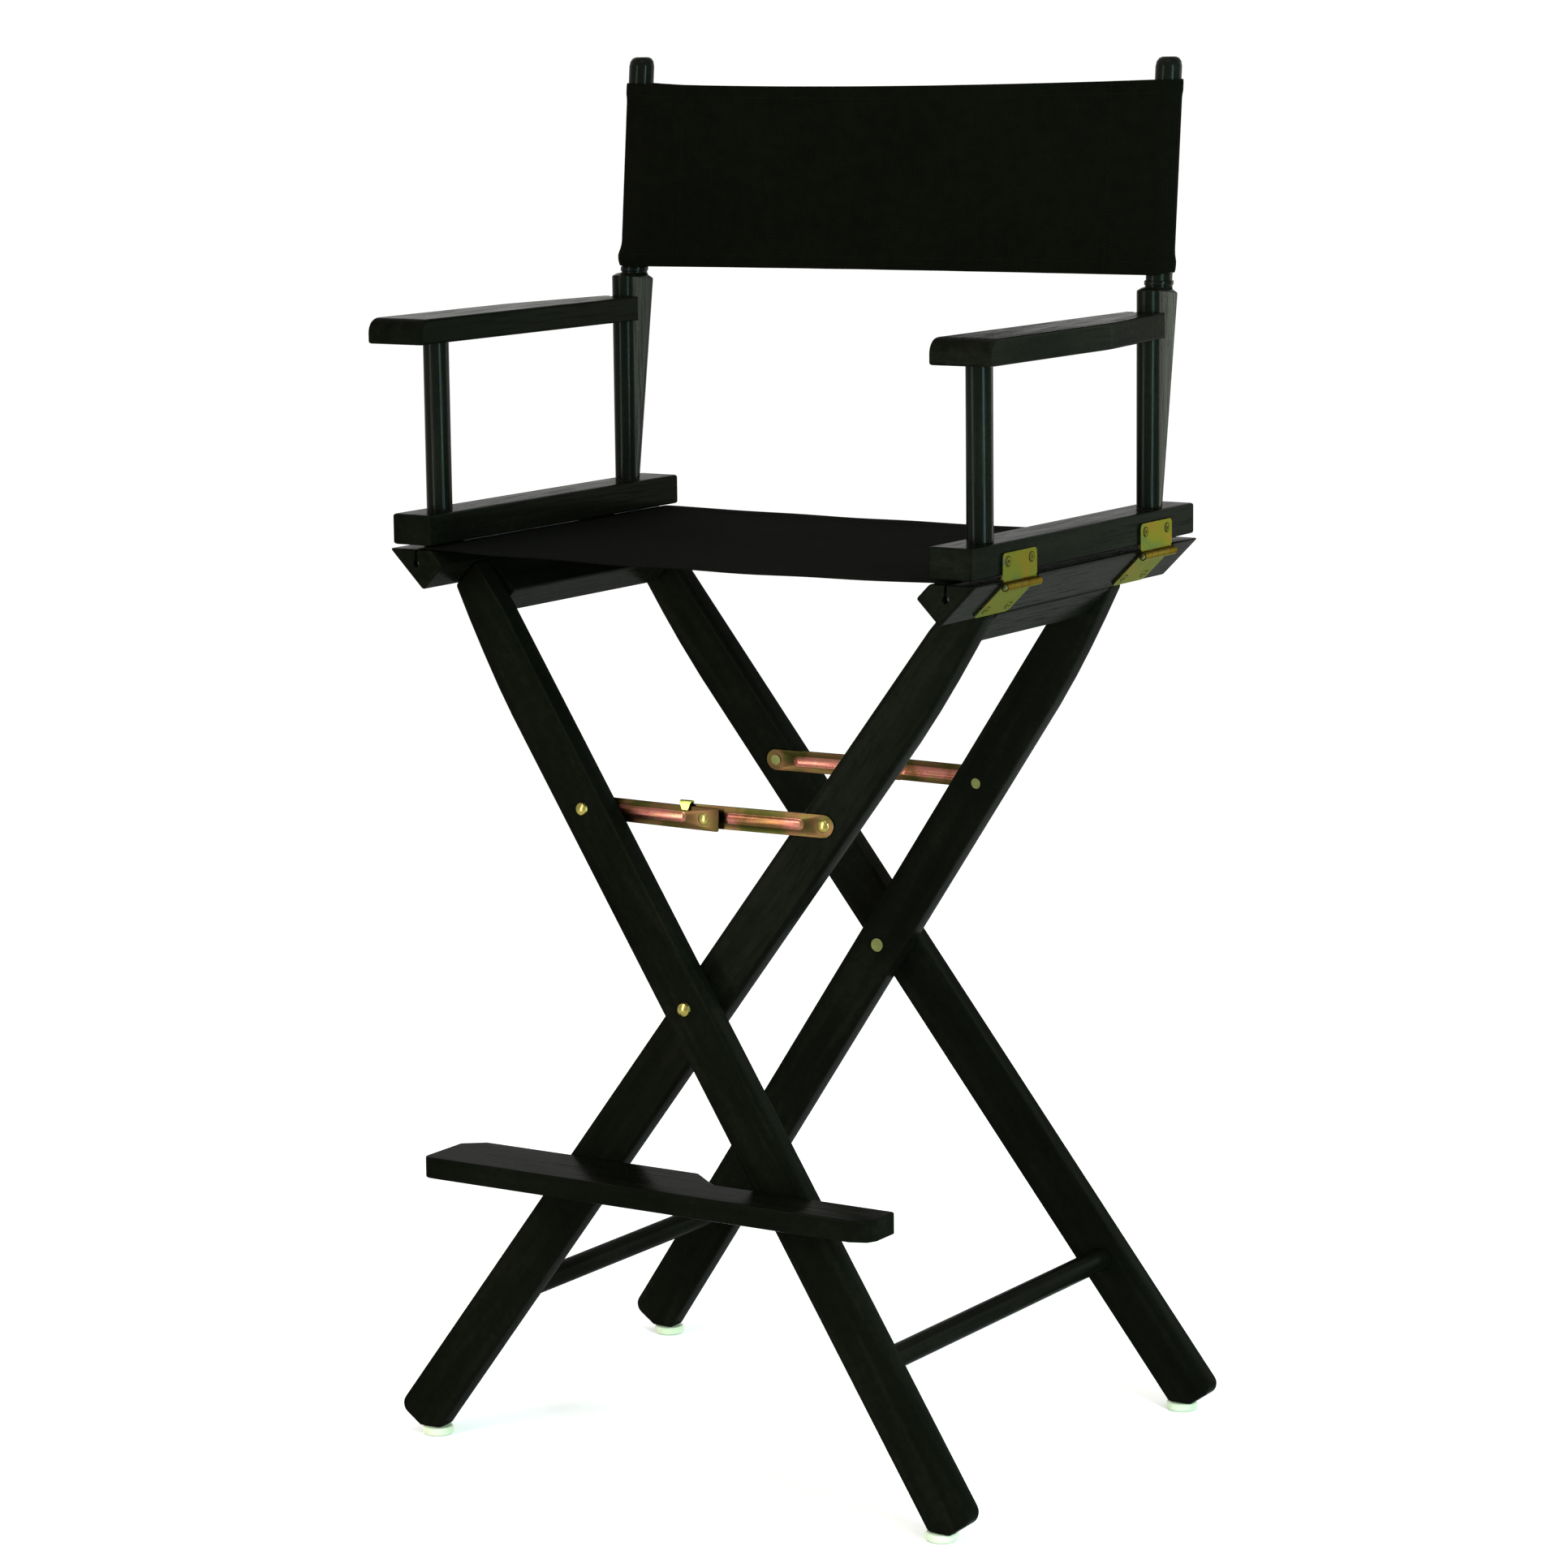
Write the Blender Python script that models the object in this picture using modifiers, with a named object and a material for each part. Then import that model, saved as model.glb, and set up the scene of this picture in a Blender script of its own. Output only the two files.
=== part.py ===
"""Folding director chair at bar height: two leg crosses, hinged arm frames, canvas seat and back,
locking stays and a footrest board.

Metres, +Z up. The chair faces -Y and its left is -X. Z = 0 is the floor under the glides.
Each leg cross is a pair of boards that turn about one bolt; the outer frame carries the left leg rail
and the inner frame the right one. All legs lean towards the middle of the chair as they rise.
"""

import math

import bmesh
import bpy
from mathutils import Matrix, Vector

# Leg crosses
CROSS_Z = 0.3965  # height of the bolt where two legs cross
LEG_ANGLE = math.radians(35.3)  # each leg from the vertical, seen from the front
LEG_LEAN = 0.0844  # how far a leg moves towards the middle per metre along it
MID_Y = 0.0088  # middle plane between the front and the rear cross; the footrest is in front of it
OUTER_LEG_Y = 0.1647  # outer legs from that plane, at the bolt
INNER_LEG_Y = 0.1385
LEG_WIDTH = 0.043
LEG_THICK = 0.020
LEG_EDGE = 0.003
FOOT_REACH = 0.4737  # bolt to the square-cut lower end
FOOT_ROUND = 0.010
FOOT_FLAT_Z = 0.007
FOOT_FLAT = 0.020
TAPER_START = 0.290  # the outer edge draws in above this distance from the bolt
BOLT_R = 0.0030
BOLT_HOLE_R = 0.0033
SPACER_R = 0.0080
SPACER_THICK = 0.0038

# Glides
GLIDE_R = 0.0133
GLIDE_H = 0.0067
GLIDE_X = 0.2575

# Leg rails: a square-cut bar on edge, with the top planed level and a keyhole for the seat rod
RAIL_HALF = 0.1845
RAIL_LOW = (0.2480, 0.7265)  # the lowest corner of the section, right rail
RAIL_FACE = 0.030  # the lower inner face, which the legs meet
RAIL_TOP_Z = 0.7600
RAIL_EDGE = 0.0022
BATTEN_DEEP = 0.036  # the batten under each rail, between the legs
ROD_X = 0.2540
ROD_Z = 0.7484
ROD_R = 0.0020
ROD_HALF = 0.180
KEYHOLE_R = 0.0033
SLOT_HALF = 0.0013

# Stretchers, near the floor
STRETCHER_S = 0.328
STRETCHER_R = 0.0100

# Stays between the legs of a cross
STAY_S = 0.188  # rivet above the bolt
STAY_HALF = 0.0095
STAY_THICK = 0.0015
STAY_GAP = 0.0002
STAY_OUTER_TAIL = 0.015  # an outer stay past the middle rivet
STAY_INNER_TAIL = 0.0205
RIVET_R = 0.0020
RIVET_HOLE_R = 0.0023
LEG_RIVET_HOLE_R = 0.0032  # wider, because these rivets stand square to the leaning faces
STOP_X = (0.0142, 0.0197)  # the bent stop on an inner stay, past the middle rivet
STOP_THICK = 0.0014
STOP_GAP = 0.0012

# Arm frames
BASE_X = (0.2383, 0.2773)
BASE_Z = (0.7635, 0.7890)
POST_X = 0.2602
POST_R = 0.0108
FRONT_POST_Y = -0.1327
ARM_Z = (0.9290, 0.9500)
ARM_X = (0.2414, 0.2963)
ARM_Y = (-0.1782, 0.1388)
ARM_TAPER_Y = 0.0220
ARM_END_X = 0.2780
ARM_NOSE_R = 0.0125  # round upper front edge
REAR_POST_Y = 0.1453
REAR_POST_DEEP = 0.0270  # how much deeper the post is at its shoulder
SHOULDER_Z = 0.9643  # at the neck's y, on a plane square to the leaning dowel
NECK_Z = 0.9685
NECK_Y = 0.1615
POST_TOP_Z = 1.1560
BACK_LEAN = 0.0945  # rearward lean of the top dowel, metres per metre
DOWEL_R = 0.0110
COLLAR_R = 0.0122
COLLAR_Z = (0.9712, 0.9748)  # the wider ring just under the back canvas

# Hinges between the leg rails and the arm frames
HINGE_X = 0.2808
HINGE_Z = 0.75435
HINGE_Y = (-0.1032, 0.1228)
LEAF_WIDTH = 0.054
LEAF_THICK = 0.0015
LEAF_UP = 0.0265
LEAF_DOWN = 0.0385
LEAF_BACK = 0.0032  # back face of a leaf from the hinge axis
LEAF_START = 0.0008
KNUCKLE_R = 0.0034
KNUCKLE_BORE_R = 0.0018
PIN_R = 0.0015
KNUCKLES = 5

# Canvas
SEAT_Y = 0.183
SEAT_THICK = 0.0016
SEAT_Z = 0.7617
BACK_Z = (0.9765, 1.1360)
BACK_THICK = 0.0012
BACK_FLAP = 0.050

# Footrest
REST_TOP_Z = 0.2588
REST_THICK = 0.018
REST_X = (-0.225, 0.210)
REST_FRONT_Y = -0.2262
REST_DEEP_Y = -0.1577  # rear edge in front of the inner leg
REST_NARROW_Y = -0.1837  # rear edge in front of the outer leg
REST_STEP_X = (0.006, 0.038)
REST_PIVOT_Z = 0.2480  # where its bolt crosses the middle plane of the front outer leg
REST_BOLT_DEEP = 0.020  # bolt's reach into the board
REST_HOLE_R = 0.0043  # wider, because the bolt stands square to the leaning face
STUD_R = 0.0040

GAP = 0.0003
TURN_STEPS = 20

SIN, COS = math.sin(LEG_ANGLE), math.cos(LEG_ANGLE)


def clear_scene():
    for obj in list(bpy.data.objects):
        bpy.data.objects.remove(obj, do_unlink=True)


def make_collection(name):
    collection = bpy.data.collections.new(name)
    bpy.context.scene.collection.children.link(collection)
    return collection


def make_material(name, colour, roughness, metallic=0.0):
    material = bpy.data.materials.new(name)
    material.use_nodes = True
    shader = material.node_tree.nodes["Principled BSDF"]
    shader.inputs["Base Color"].default_value = (*colour, 1.0)
    shader.inputs["Roughness"].default_value = roughness
    shader.inputs["Metallic"].default_value = metallic
    material.diffuse_color = (*colour, 1.0)
    return material


def add_part(name, mesh, material, matrix=None, parent=None, smooth=None):
    """One named piece. matrix is its place in the world, whatever its parent."""
    mesh.materials.clear()
    mesh.materials.append(material)
    if smooth is not None:
        mesh.shade_smooth()
        mesh.set_sharp_from_angle(angle=math.radians(smooth))
    obj = bpy.data.objects.new(name, mesh)
    PARTS.objects.link(obj)
    place(obj, Matrix() if matrix is None else matrix, parent)
    return obj


def place(obj, matrix, parent):
    obj.parent = parent
    obj.matrix_basis = parent.matrix_world.inverted() @ matrix if parent else matrix
    bpy.context.view_layer.update()


def add_axis(name, location, parent=None, rotation=None):
    """An empty on a joint's axis, which the joint's pieces are parented to."""
    empty = bpy.data.objects.new(name, None)
    empty.empty_display_size = 0.03
    PARTS.objects.link(empty)
    turn = Matrix() if rotation is None else rotation.to_4x4()
    place(empty, Matrix.Translation(location) @ turn, parent)
    return empty


def evaluated_mesh(obj):
    """The object's final mesh, welded, and the object removed."""
    graph = bpy.context.evaluated_depsgraph_get()
    mesh = bpy.data.meshes.new_from_object(obj.evaluated_get(graph))
    data = obj.data
    bpy.data.objects.remove(obj, do_unlink=True)
    if isinstance(data, bpy.types.Curve):
        bpy.data.curves.remove(data)
    bm = bmesh.new()
    bm.from_mesh(mesh)
    bmesh.ops.remove_doubles(bm, verts=bm.verts, dist=1e-6)
    bmesh.ops.recalc_face_normals(bm, faces=bm.faces)
    bm.to_mesh(mesh)
    bm.free()
    return mesh


def outline_mesh(outline, half, holes=(), along="Z"):
    """A flat outline extruded by half each way. along="Y" takes the outline as X and Z."""
    curve = bpy.data.curves.new("outline", "CURVE")
    curve.dimensions = "2D"
    curve.fill_mode = "BOTH"
    curve.extrude = half
    for ring in (outline, *holes):
        spline = curve.splines.new("POLY")
        spline.points.add(len(ring) - 1)
        for point, (x, y) in zip(spline.points, ring):
            point.co = (x, y, 0.0, 1.0)
        spline.use_cyclic_u = True
    obj = bpy.data.objects.new("outline", curve)
    PARTS.objects.link(obj)
    bpy.context.view_layer.update()
    mesh = evaluated_mesh(obj)
    if along == "Y":
        mesh.transform(Matrix.Rotation(math.pi / 2, 4, "X"))
    if along == "X":
        mesh.transform(Matrix(((0, 0, 1), (1, 0, 0), (0, 1, 0))).to_4x4())
    return mesh


def turned_mesh(profile, steps=TURN_STEPS):
    """A profile of (radius, height) from top to bottom, turned about Z."""
    mesh = bpy.data.meshes.new("profile")
    points = [(radius, 0.0, height) for radius, height in profile]
    mesh.from_pydata(points, [(i, i + 1) for i in range(len(points) - 1)], [])
    obj = bpy.data.objects.new("profile", mesh)
    PARTS.objects.link(obj)
    screw = obj.modifiers.new("Screw", "SCREW")
    screw.steps = steps
    screw.render_steps = steps
    screw.use_merge_vertices = True
    screw.merge_threshold = 0.00005
    bpy.context.view_layer.update()
    return evaluated_mesh(obj)


def box_mesh(low, high):
    bm = bmesh.new()
    size = Vector(high) - Vector(low)
    middle = (Vector(high) + Vector(low)) / 2
    bmesh.ops.create_cube(bm, size=1.0, matrix=Matrix.Translation(middle) @ Matrix.Diagonal((*size, 1)))
    mesh = bpy.data.meshes.new("box")
    bm.to_mesh(mesh)
    bm.free()
    return mesh


def cylinder_mesh(radius, low, high, segments=TURN_STEPS):
    """A cylinder along Y from low to high, about the origin."""
    bm = bmesh.new()
    turn = Matrix.Rotation(math.pi / 2, 4, "X")
    shift = Matrix.Translation((0, (low + high) / 2, 0))
    bmesh.ops.create_cone(
        bm,
        cap_ends=True,
        segments=segments,
        radius1=radius,
        radius2=radius,
        depth=high - low,
        matrix=shift @ turn,
    )
    mesh = bpy.data.meshes.new("cylinder")
    bm.to_mesh(mesh)
    bm.free()
    return mesh


def combined(base, tools):
    """base with each (operation, mesh) applied by an exact Boolean."""
    obj = bpy.data.objects.new("base", base)
    PARTS.objects.link(obj)
    cutters = []
    for operation, mesh in tools:
        cutter = bpy.data.objects.new("cutter", mesh)
        cutter.hide_render = True
        cutter.display_type = "WIRE"
        CUTTERS.objects.link(cutter)
        cutters.append(cutter)
        modifier = obj.modifiers.new(operation.title(), "BOOLEAN")
        modifier.operation = operation
        modifier.solver = "EXACT"
        modifier.object = cutter
    bpy.context.view_layer.update()
    mesh = evaluated_mesh(obj)
    for cutter in cutters:
        bpy.data.objects.remove(cutter, do_unlink=True)
    return mesh


def soften(obj, width, segments=2, weight=lambda middle: 1.0, sharper_than=25.0):
    """A Bevel on the mesh's sharp edges, each with the weight that its middle gives."""
    bm = bmesh.new()
    bm.from_mesh(obj.data)
    bmesh.ops.dissolve_limit(
        bm, angle_limit=math.radians(0.5), verts=bm.verts, edges=bm.edges
    )
    layer = bm.edges.layers.float.new("bevel_weight_edge")
    for edge in bm.edges:
        if edge.calc_face_angle(0.0) > math.radians(sharper_than):
            middle = (edge.verts[0].co + edge.verts[1].co) / 2
            edge[layer] = weight(middle)
    bm.to_mesh(obj.data)
    bm.free()
    bevel = obj.modifiers.new("Bevel", "BEVEL")
    bevel.limit_method = "WEIGHT"
    bevel.width = width
    bevel.segments = segments
    bevel.use_clamp_overlap = True


def arc(centre, radius, start, end, count):
    """count + 1 points on an arc, with the angles in degrees from +X."""
    points = []
    for i in range(count + 1):
        angle = math.radians(start + (end - start) * i / count)
        points.append((centre[0] + radius * math.cos(angle), centre[1] + radius * math.sin(angle)))
    return points


def circle(centre, radius, count=16, start=0.0):
    return arc(centre, radius, start, start + 360, count)[:-1]


def mirrored(points):
    return [(-x, y) for x, y in reversed(points)]


def dome_profile(radius, height, base, count=3):
    """Points of a low dome from its top to its rim at height base."""
    points = []
    for i in range(count + 1):
        angle = math.radians(90 * i / count)
        points.append((radius * math.sin(angle), base + height * math.cos(angle)))
    return points


# Places on a leg: across is from its centre line towards its outer side at the foot, along is up it.


def on_leg(side, across, along):
    """World (x, z) of a point on a leg whose foot is on the given side, 1 right or -1 left."""
    x = side * (across * COS - along * SIN)
    return x, CROSS_Z + across * SIN + along * COS


def to_leg(x, z):
    """(across, along) of a world point, for the leg whose foot is on the right."""
    return x * COS + (z - CROSS_Z) * SIN, -x * SIN + (z - CROSS_Z) * COS


def leg_y(front, outer, along):
    """World y of a leg's middle plane. front is -1 for the front cross and 1 for the rear one."""
    at_bolt = OUTER_LEG_Y if outer else INNER_LEG_Y
    return MID_Y + front * (at_bolt - LEG_LEAN * along)


def leg_outline(side):
    """(across, along) outline; the left-footed legs are its mirror image."""
    half = LEG_WIDTH / 2
    corner = (-RAIL_LOW[0], RAIL_LOW[1])
    reach = RAIL_FACE / math.sqrt(2)
    low_top = to_leg(*corner)
    high_top = to_leg(corner[0] + reach, corner[1] + reach)
    low_top = (low_top[0], low_top[1] - GAP)
    high_top = (high_top[0], high_top[1] - GAP)
    points = [high_top, (half, high_top[1] - 0.045)]
    points += reversed(arc((half - FOOT_ROUND, FOOT_ROUND - FOOT_REACH), FOOT_ROUND, -90, 0, 5))
    clip = FOOT_FLAT * COS
    points.append((clip - half, -FOOT_REACH))
    inner_end = (FOOT_FLAT_Z - CROSS_Z + half * SIN) / COS
    points.append((-half, inner_end))
    steps = 4
    for i in range(steps + 1):
        share = i / steps
        draw = (low_top[0] + half) * share**1.6
        points.append((draw - half, TAPER_START + (low_top[1] - TAPER_START) * share))
    if side > 0:
        return points
    return mirrored(points)


def make_leg(name, front, outer, holes, frame):
    side = 1 if outer else -1
    rings = [circle((side * across, along), radius) for across, along, radius in holes]
    mesh = outline_mesh(leg_outline(side), LEG_THICK / 2, rings, along="Y")
    for vertex in mesh.vertices:
        vertex.co.y -= front * LEG_LEAN * vertex.co.z
    y = leg_y(front, outer, 0.0)
    turn = Matrix.Rotation(-side * LEG_ANGLE, 4, "Y")
    obj = add_part(name, mesh, WOOD, Matrix.Translation((0, y, CROSS_Z)) @ turn, frame, smooth=35)

    def weight(middle):
        for across, along, radius in holes:
            if math.hypot(middle.x - side * across, middle.z - along) < radius + 0.0005:
                return 0.0
        return 1.0

    soften(obj, LEG_EDGE, 2, weight, sharper_than=45)
    return obj


def make_glide(name, front, outer, frame):
    side = 1 if outer else -1
    _, along = to_leg(GLIDE_X, FOOT_FLAT_Z)
    profile = [(0, GLIDE_H), (GLIDE_R - 0.0010, GLIDE_H), (GLIDE_R, GLIDE_H - 0.0012)]
    profile += [(GLIDE_R, 0.0015), (GLIDE_R - 0.0015, 0.0), (0, 0)]
    matrix = Matrix.Translation((side * GLIDE_X, leg_y(front, outer, along), 0))
    return add_part(name, turned_mesh(profile, 24), NYLON, matrix, frame, smooth=40)


def rail_section(side):
    """Section of a leg rail in world x and z, going round through the keyhole."""
    x, z = RAIL_LOW
    inner = RAIL_FACE / math.sqrt(2)
    rise = RAIL_TOP_Z - z
    mouth = math.degrees(math.asin(SLOT_HALF / KEYHOLE_R))
    keyhole = arc((ROD_X, ROD_Z), KEYHOLE_R, 90 - mouth, mouth - 270, 14)
    points = [(x, z), (x + rise, RAIL_TOP_Z), (ROD_X + SLOT_HALF, RAIL_TOP_Z)]
    points += keyhole
    points.append((ROD_X - SLOT_HALF, RAIL_TOP_Z))
    points.append((x - inner + (RAIL_TOP_Z - z - inner), RAIL_TOP_Z))
    points.append((x - inner, z + inner))
    return points if side > 0 else mirrored(points)


def make_leg_rail(name, side, frame):
    """A rail with its edges rounded, then notched at the outer top corner for the upper hinge leaves."""
    rail = bpy.data.objects.new("rail", outline_mesh(rail_section(side), RAIL_HALF, along="Y"))
    PARTS.objects.link(rail)

    def weight(middle):
        in_slot = abs(middle.x - side * ROD_X) < SLOT_HALF + 0.0003
        in_hole = math.hypot(middle.x - side * ROD_X, middle.z - ROD_Z) < KEYHOLE_R + 0.0003
        return 0.0 if in_slot or in_hole else 1.0

    soften(rail, RAIL_EDGE, 2, weight)
    bpy.context.view_layer.update()
    notch_x = HINGE_X - LEAF_BACK - GAP
    half = LEAF_WIDTH / 2 + 0.0006
    near, far = sorted((side * notch_x, side * (notch_x + 0.02)))
    notches = []
    for y in HINGE_Y:
        low = (near, y - MID_Y - half, RAIL_TOP_Z - 0.010)
        high = (far, y - MID_Y + half, RAIL_TOP_Z + 0.005)
        notches.append(("DIFFERENCE", box_mesh(low, high)))
    mesh = combined(evaluated_mesh(rail), notches)
    return add_part(name, mesh, WOOD, Matrix.Translation((0, MID_Y, 0)), frame, smooth=35)


def make_batten(name, side, outer, frame):
    """A bar that carries the rail's section on downwards between the legs that hold the rail."""
    reach = RAIL_FACE / math.sqrt(2)
    down = BATTEN_DEEP / math.sqrt(2)
    slip = GAP / math.sqrt(2)
    x, z = RAIL_LOW[0] - slip, RAIL_LOW[1] - slip
    section = [(x, z), (x - reach, z + reach), (x - reach - down, z + reach - down), (x - down, z - down)]
    if side < 0:
        section = mirrored(section)
    top = max(to_leg(*point)[1] for point in ((-abs(x), z) for x, z in section))
    half = leg_y(1, outer, top) - MID_Y - LEG_THICK / 2 - GAP
    mesh = outline_mesh(section, half, along="Y")
    obj = add_part(name, mesh, WOOD, Matrix.Translation((0, MID_Y, 0)), frame, smooth=35)
    soften(obj, 0.0012, 1)


def make_stretcher(name, side, outer, frame):
    """A dowel between the front and rear legs of one frame, its ends following their slope."""
    x, z = on_leg(side, 0, -STRETCHER_S)
    mesh = cylinder_mesh(STRETCHER_R, -0.1, 0.1)
    for vertex in mesh.vertices:
        front = -1 if vertex.co.y < 0 else 1
        _, along = to_leg(side * (x + vertex.co.x), z + vertex.co.z)
        face = leg_y(front, outer, along) - front * (LEG_THICK / 2 + GAP)
        vertex.co.y = face - MID_Y
    return add_part(name, mesh, WOOD, Matrix.Translation((x, MID_Y, z)), frame, smooth=40)


def make_cross_bolt(name, front, frame):
    """Dome outside the outer leg, shank through both legs, flat tail inside the inner leg."""
    slack = 0.0008
    outside = OUTER_LEG_Y + LEG_THICK / 2 + slack
    inside = INNER_LEG_Y - LEG_THICK / 2 - slack
    profile = dome_profile(0.0062, 0.0034, outside)
    profile += [(BOLT_R, outside), (BOLT_R, inside), (0.0058, inside), (0.0058, inside - 0.0014)]
    profile.append((0, inside - 0.0014))
    turn = Matrix.Rotation(-front * math.pi / 2, 4, "X")
    matrix = Matrix.Translation((0, MID_Y, CROSS_Z)) @ turn
    return add_part(name, turned_mesh(profile), BRASS, matrix, frame, smooth=35)


def make_spacer(name, front, frame):
    half = SPACER_THICK / 2
    ring = circle((0, 0), SPACER_R, 24)
    mesh = outline_mesh(ring, half, [circle((0, 0), BOLT_HOLE_R)], along="Y")
    y = MID_Y + front * (OUTER_LEG_Y + INNER_LEG_Y) / 2
    return add_part(name, mesh, ZINC, Matrix.Translation((0, y, CROSS_Z)), frame, smooth=35)


def leg_basis(front, outer):
    """World rotation with X along a straight stay towards the middle and Y square to the leg's face."""
    side = 1 if outer else -1
    up = Vector((-side * SIN, 0, COS))
    normal = (Vector((0, 1, 0)) + front * up * LEG_LEAN).normalized()
    along = -side * Vector((0, 0, 1)).cross(normal).normalized()
    return Matrix((along, normal, along.cross(normal))).transposed()


def stay_pivot(front, outer):
    """Where a stay's rivet axis crosses the leg's middle plane."""
    side = 1 if outer else -1
    x, z = on_leg(side, 0, STAY_S)
    return Vector((x, leg_y(front, outer, STAY_S), z))


def stay_outline(length, tail):
    """A strip with a round end at the rivet and a square end past the middle rivet."""
    end, corner = length + tail, 0.0015
    points = arc((0, 0), STAY_HALF, 90, 270, 10)
    points += [(end - corner, -STAY_HALF), (end, corner - STAY_HALF)]
    points += [(end, STAY_HALF - corner), (end - corner, STAY_HALF)]
    return points


def make_stay(name, front, outer, pivot):
    """A stay beside its leg, on the side that faces the other leg of the cross."""
    length = stay_length()
    tail = STAY_OUTER_TAIL if outer else STAY_INNER_TAIL
    up = 1 if leg_basis(front, outer).col[2].z > 0 else -1
    holes = [circle((0, 0), RIVET_HOLE_R, 14), circle((length, 0), RIVET_HOLE_R, 14, start=9.0)]
    mesh = outline_mesh(stay_outline(length, tail), STAY_THICK / 2, holes, along="Y")
    offset = stay_offset(front, outer)
    mesh.transform(Matrix.Translation((0, offset, 0)))
    if not outer:
        mesh = combined(mesh, [("UNION", stop_mesh(length, offset, front, up))])
    return add_part(name, mesh, BRONZE, pivot.matrix_world, pivot, smooth=35)


def stop_mesh(length, offset, front, up):
    """The tab that bends over the other stay's edge and holds the pair level when the chair is open."""
    over = offset + front * (2 * stay_meet() + STAY_THICK / 2 + 0.0008)
    inset = STAY_THICK / 2 - 0.0001
    back = offset - front * inset
    root = up * (STAY_HALF - 0.002)
    edge = up * (STAY_HALF + STOP_GAP)
    crest = up * (STAY_HALF + STOP_GAP + STOP_THICK)
    low, high = (length + x for x in STOP_X)
    lip = offset + front * inset
    section = [(back, root), (lip, root), (lip, edge), (over, edge), (over, crest), (back, crest)]
    stop = outline_mesh(section, (high - low) / 2, along="X")
    stop.transform(Matrix.Translation(((low + high) / 2, 0, 0)))
    return stop


def stay_meet():
    """Half the distance between the middles of the two stays, where they cross."""
    return (OUTER_LEG_Y - INNER_LEG_Y - LEG_THICK - STAY_THICK) / 2 - STAY_GAP


def stay_length():
    return STAY_S * SIN * math.hypot(1, LEG_LEAN * SIN)


def stay_offset(front, outer):
    """Centre of a stay from its leg's middle plane, along the leg's normal."""
    inward = -front if outer else front
    return inward * (LEG_THICK / 2 + STAY_GAP + STAY_THICK / 2)


def make_leg_rivet(name, front, outer, pivot, parent):
    """Outer legs: dome outside, tail past the stay. Inner legs: dome past the stay, tail on the far side."""
    half = LEG_THICK / 2
    slack = 0.0002
    past_stay = half + STAY_GAP + STAY_THICK + STAY_GAP
    if outer:
        head, tail = half + slack, -past_stay
        profile = dome_profile(0.0058, 0.0030, head)
    else:
        head, tail = past_stay, -half - slack
        profile = dome_profile(0.0052, 0.0016, head)
    profile += [(RIVET_R, head), (RIVET_R, tail), (0.0046, tail), (0.0046, tail - 0.0007)]
    profile.append((0, tail - 0.0007))
    turn = Matrix.Rotation(-front * math.pi / 2, 4, "X")
    matrix = pivot.matrix_world @ turn
    return add_part(name, turned_mesh(profile, 14), BRASS, matrix, parent, smooth=35)


def make_middle_rivet(name, front, outer, pivot):
    """Half of the rivet that joins two stays: the dome in the outer stay, the tail in the inner one."""
    away = front if outer else -front
    half = STAY_THICK / 2
    slack = 0.0002
    if outer:
        profile = dome_profile(0.0050, 0.0016, half + slack)
    else:
        profile = [(0, half + 0.0009), (0.0044, half + 0.0009), (0.0044, half + slack)]
    reach = stay_meet() - GAP
    profile += [(RIVET_R, half + slack), (RIVET_R, -half - slack), (0.0040, -half - slack)]
    profile += [(0.0040, -reach), (0, -reach)]
    place_on_stay = Matrix.Translation((stay_length(), stay_offset(front, outer), 0))
    turn = Matrix.Rotation(-away * math.pi / 2, 4, "X")
    matrix = pivot.matrix_world @ place_on_stay @ turn
    return add_part(name, turned_mesh(profile, 14), BRASS, matrix, pivot, smooth=35)


def leaf_mesh(length, own_knuckles):
    """A hinge leaf that rises from the hinge axis, its back at x = -LEAF_BACK."""
    half = LEAF_WIDTH / 2
    rounding = 0.004
    outline = [(-half, LEAF_START)] + list(reversed(arc((rounding - half, length - rounding), rounding, 90, 180, 4)))
    outline += list(reversed(arc((half - rounding, length - rounding), rounding, 0, 90, 4)))
    outline.append((half, LEAF_START))
    plate = outline_mesh(list(reversed(outline)), LEAF_THICK / 2, along="X")
    plate.transform(Matrix.Translation((LEAF_THICK / 2 - LEAF_BACK, 0, 0)))
    pitch = LEAF_WIDTH / KNUCKLES
    tools = []
    for i in range(KNUCKLES):
        low = i * pitch - half
        if i not in own_knuckles:
            before = GAP / 2 if i else 0.002
            after = GAP / 2 if i < KNUCKLES - 1 else 0.002
            clear = cylinder_mesh(KNUCKLE_R + 0.0005, low - before, low + pitch + after, 16)
            tools.append(("DIFFERENCE", clear))
    for i in own_knuckles:
        low = i * pitch - half
        start = low + (GAP / 2 if i else 0.0)
        end = low + pitch - (GAP / 2 if i < KNUCKLES - 1 else 0.0)
        tools.append(("UNION", cylinder_mesh(KNUCKLE_R, start, end, 18)))
    tools.append(("DIFFERENCE", cylinder_mesh(KNUCKLE_BORE_R, -half - 0.002, half + 0.002, 12)))
    return combined(plate, tools)


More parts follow.
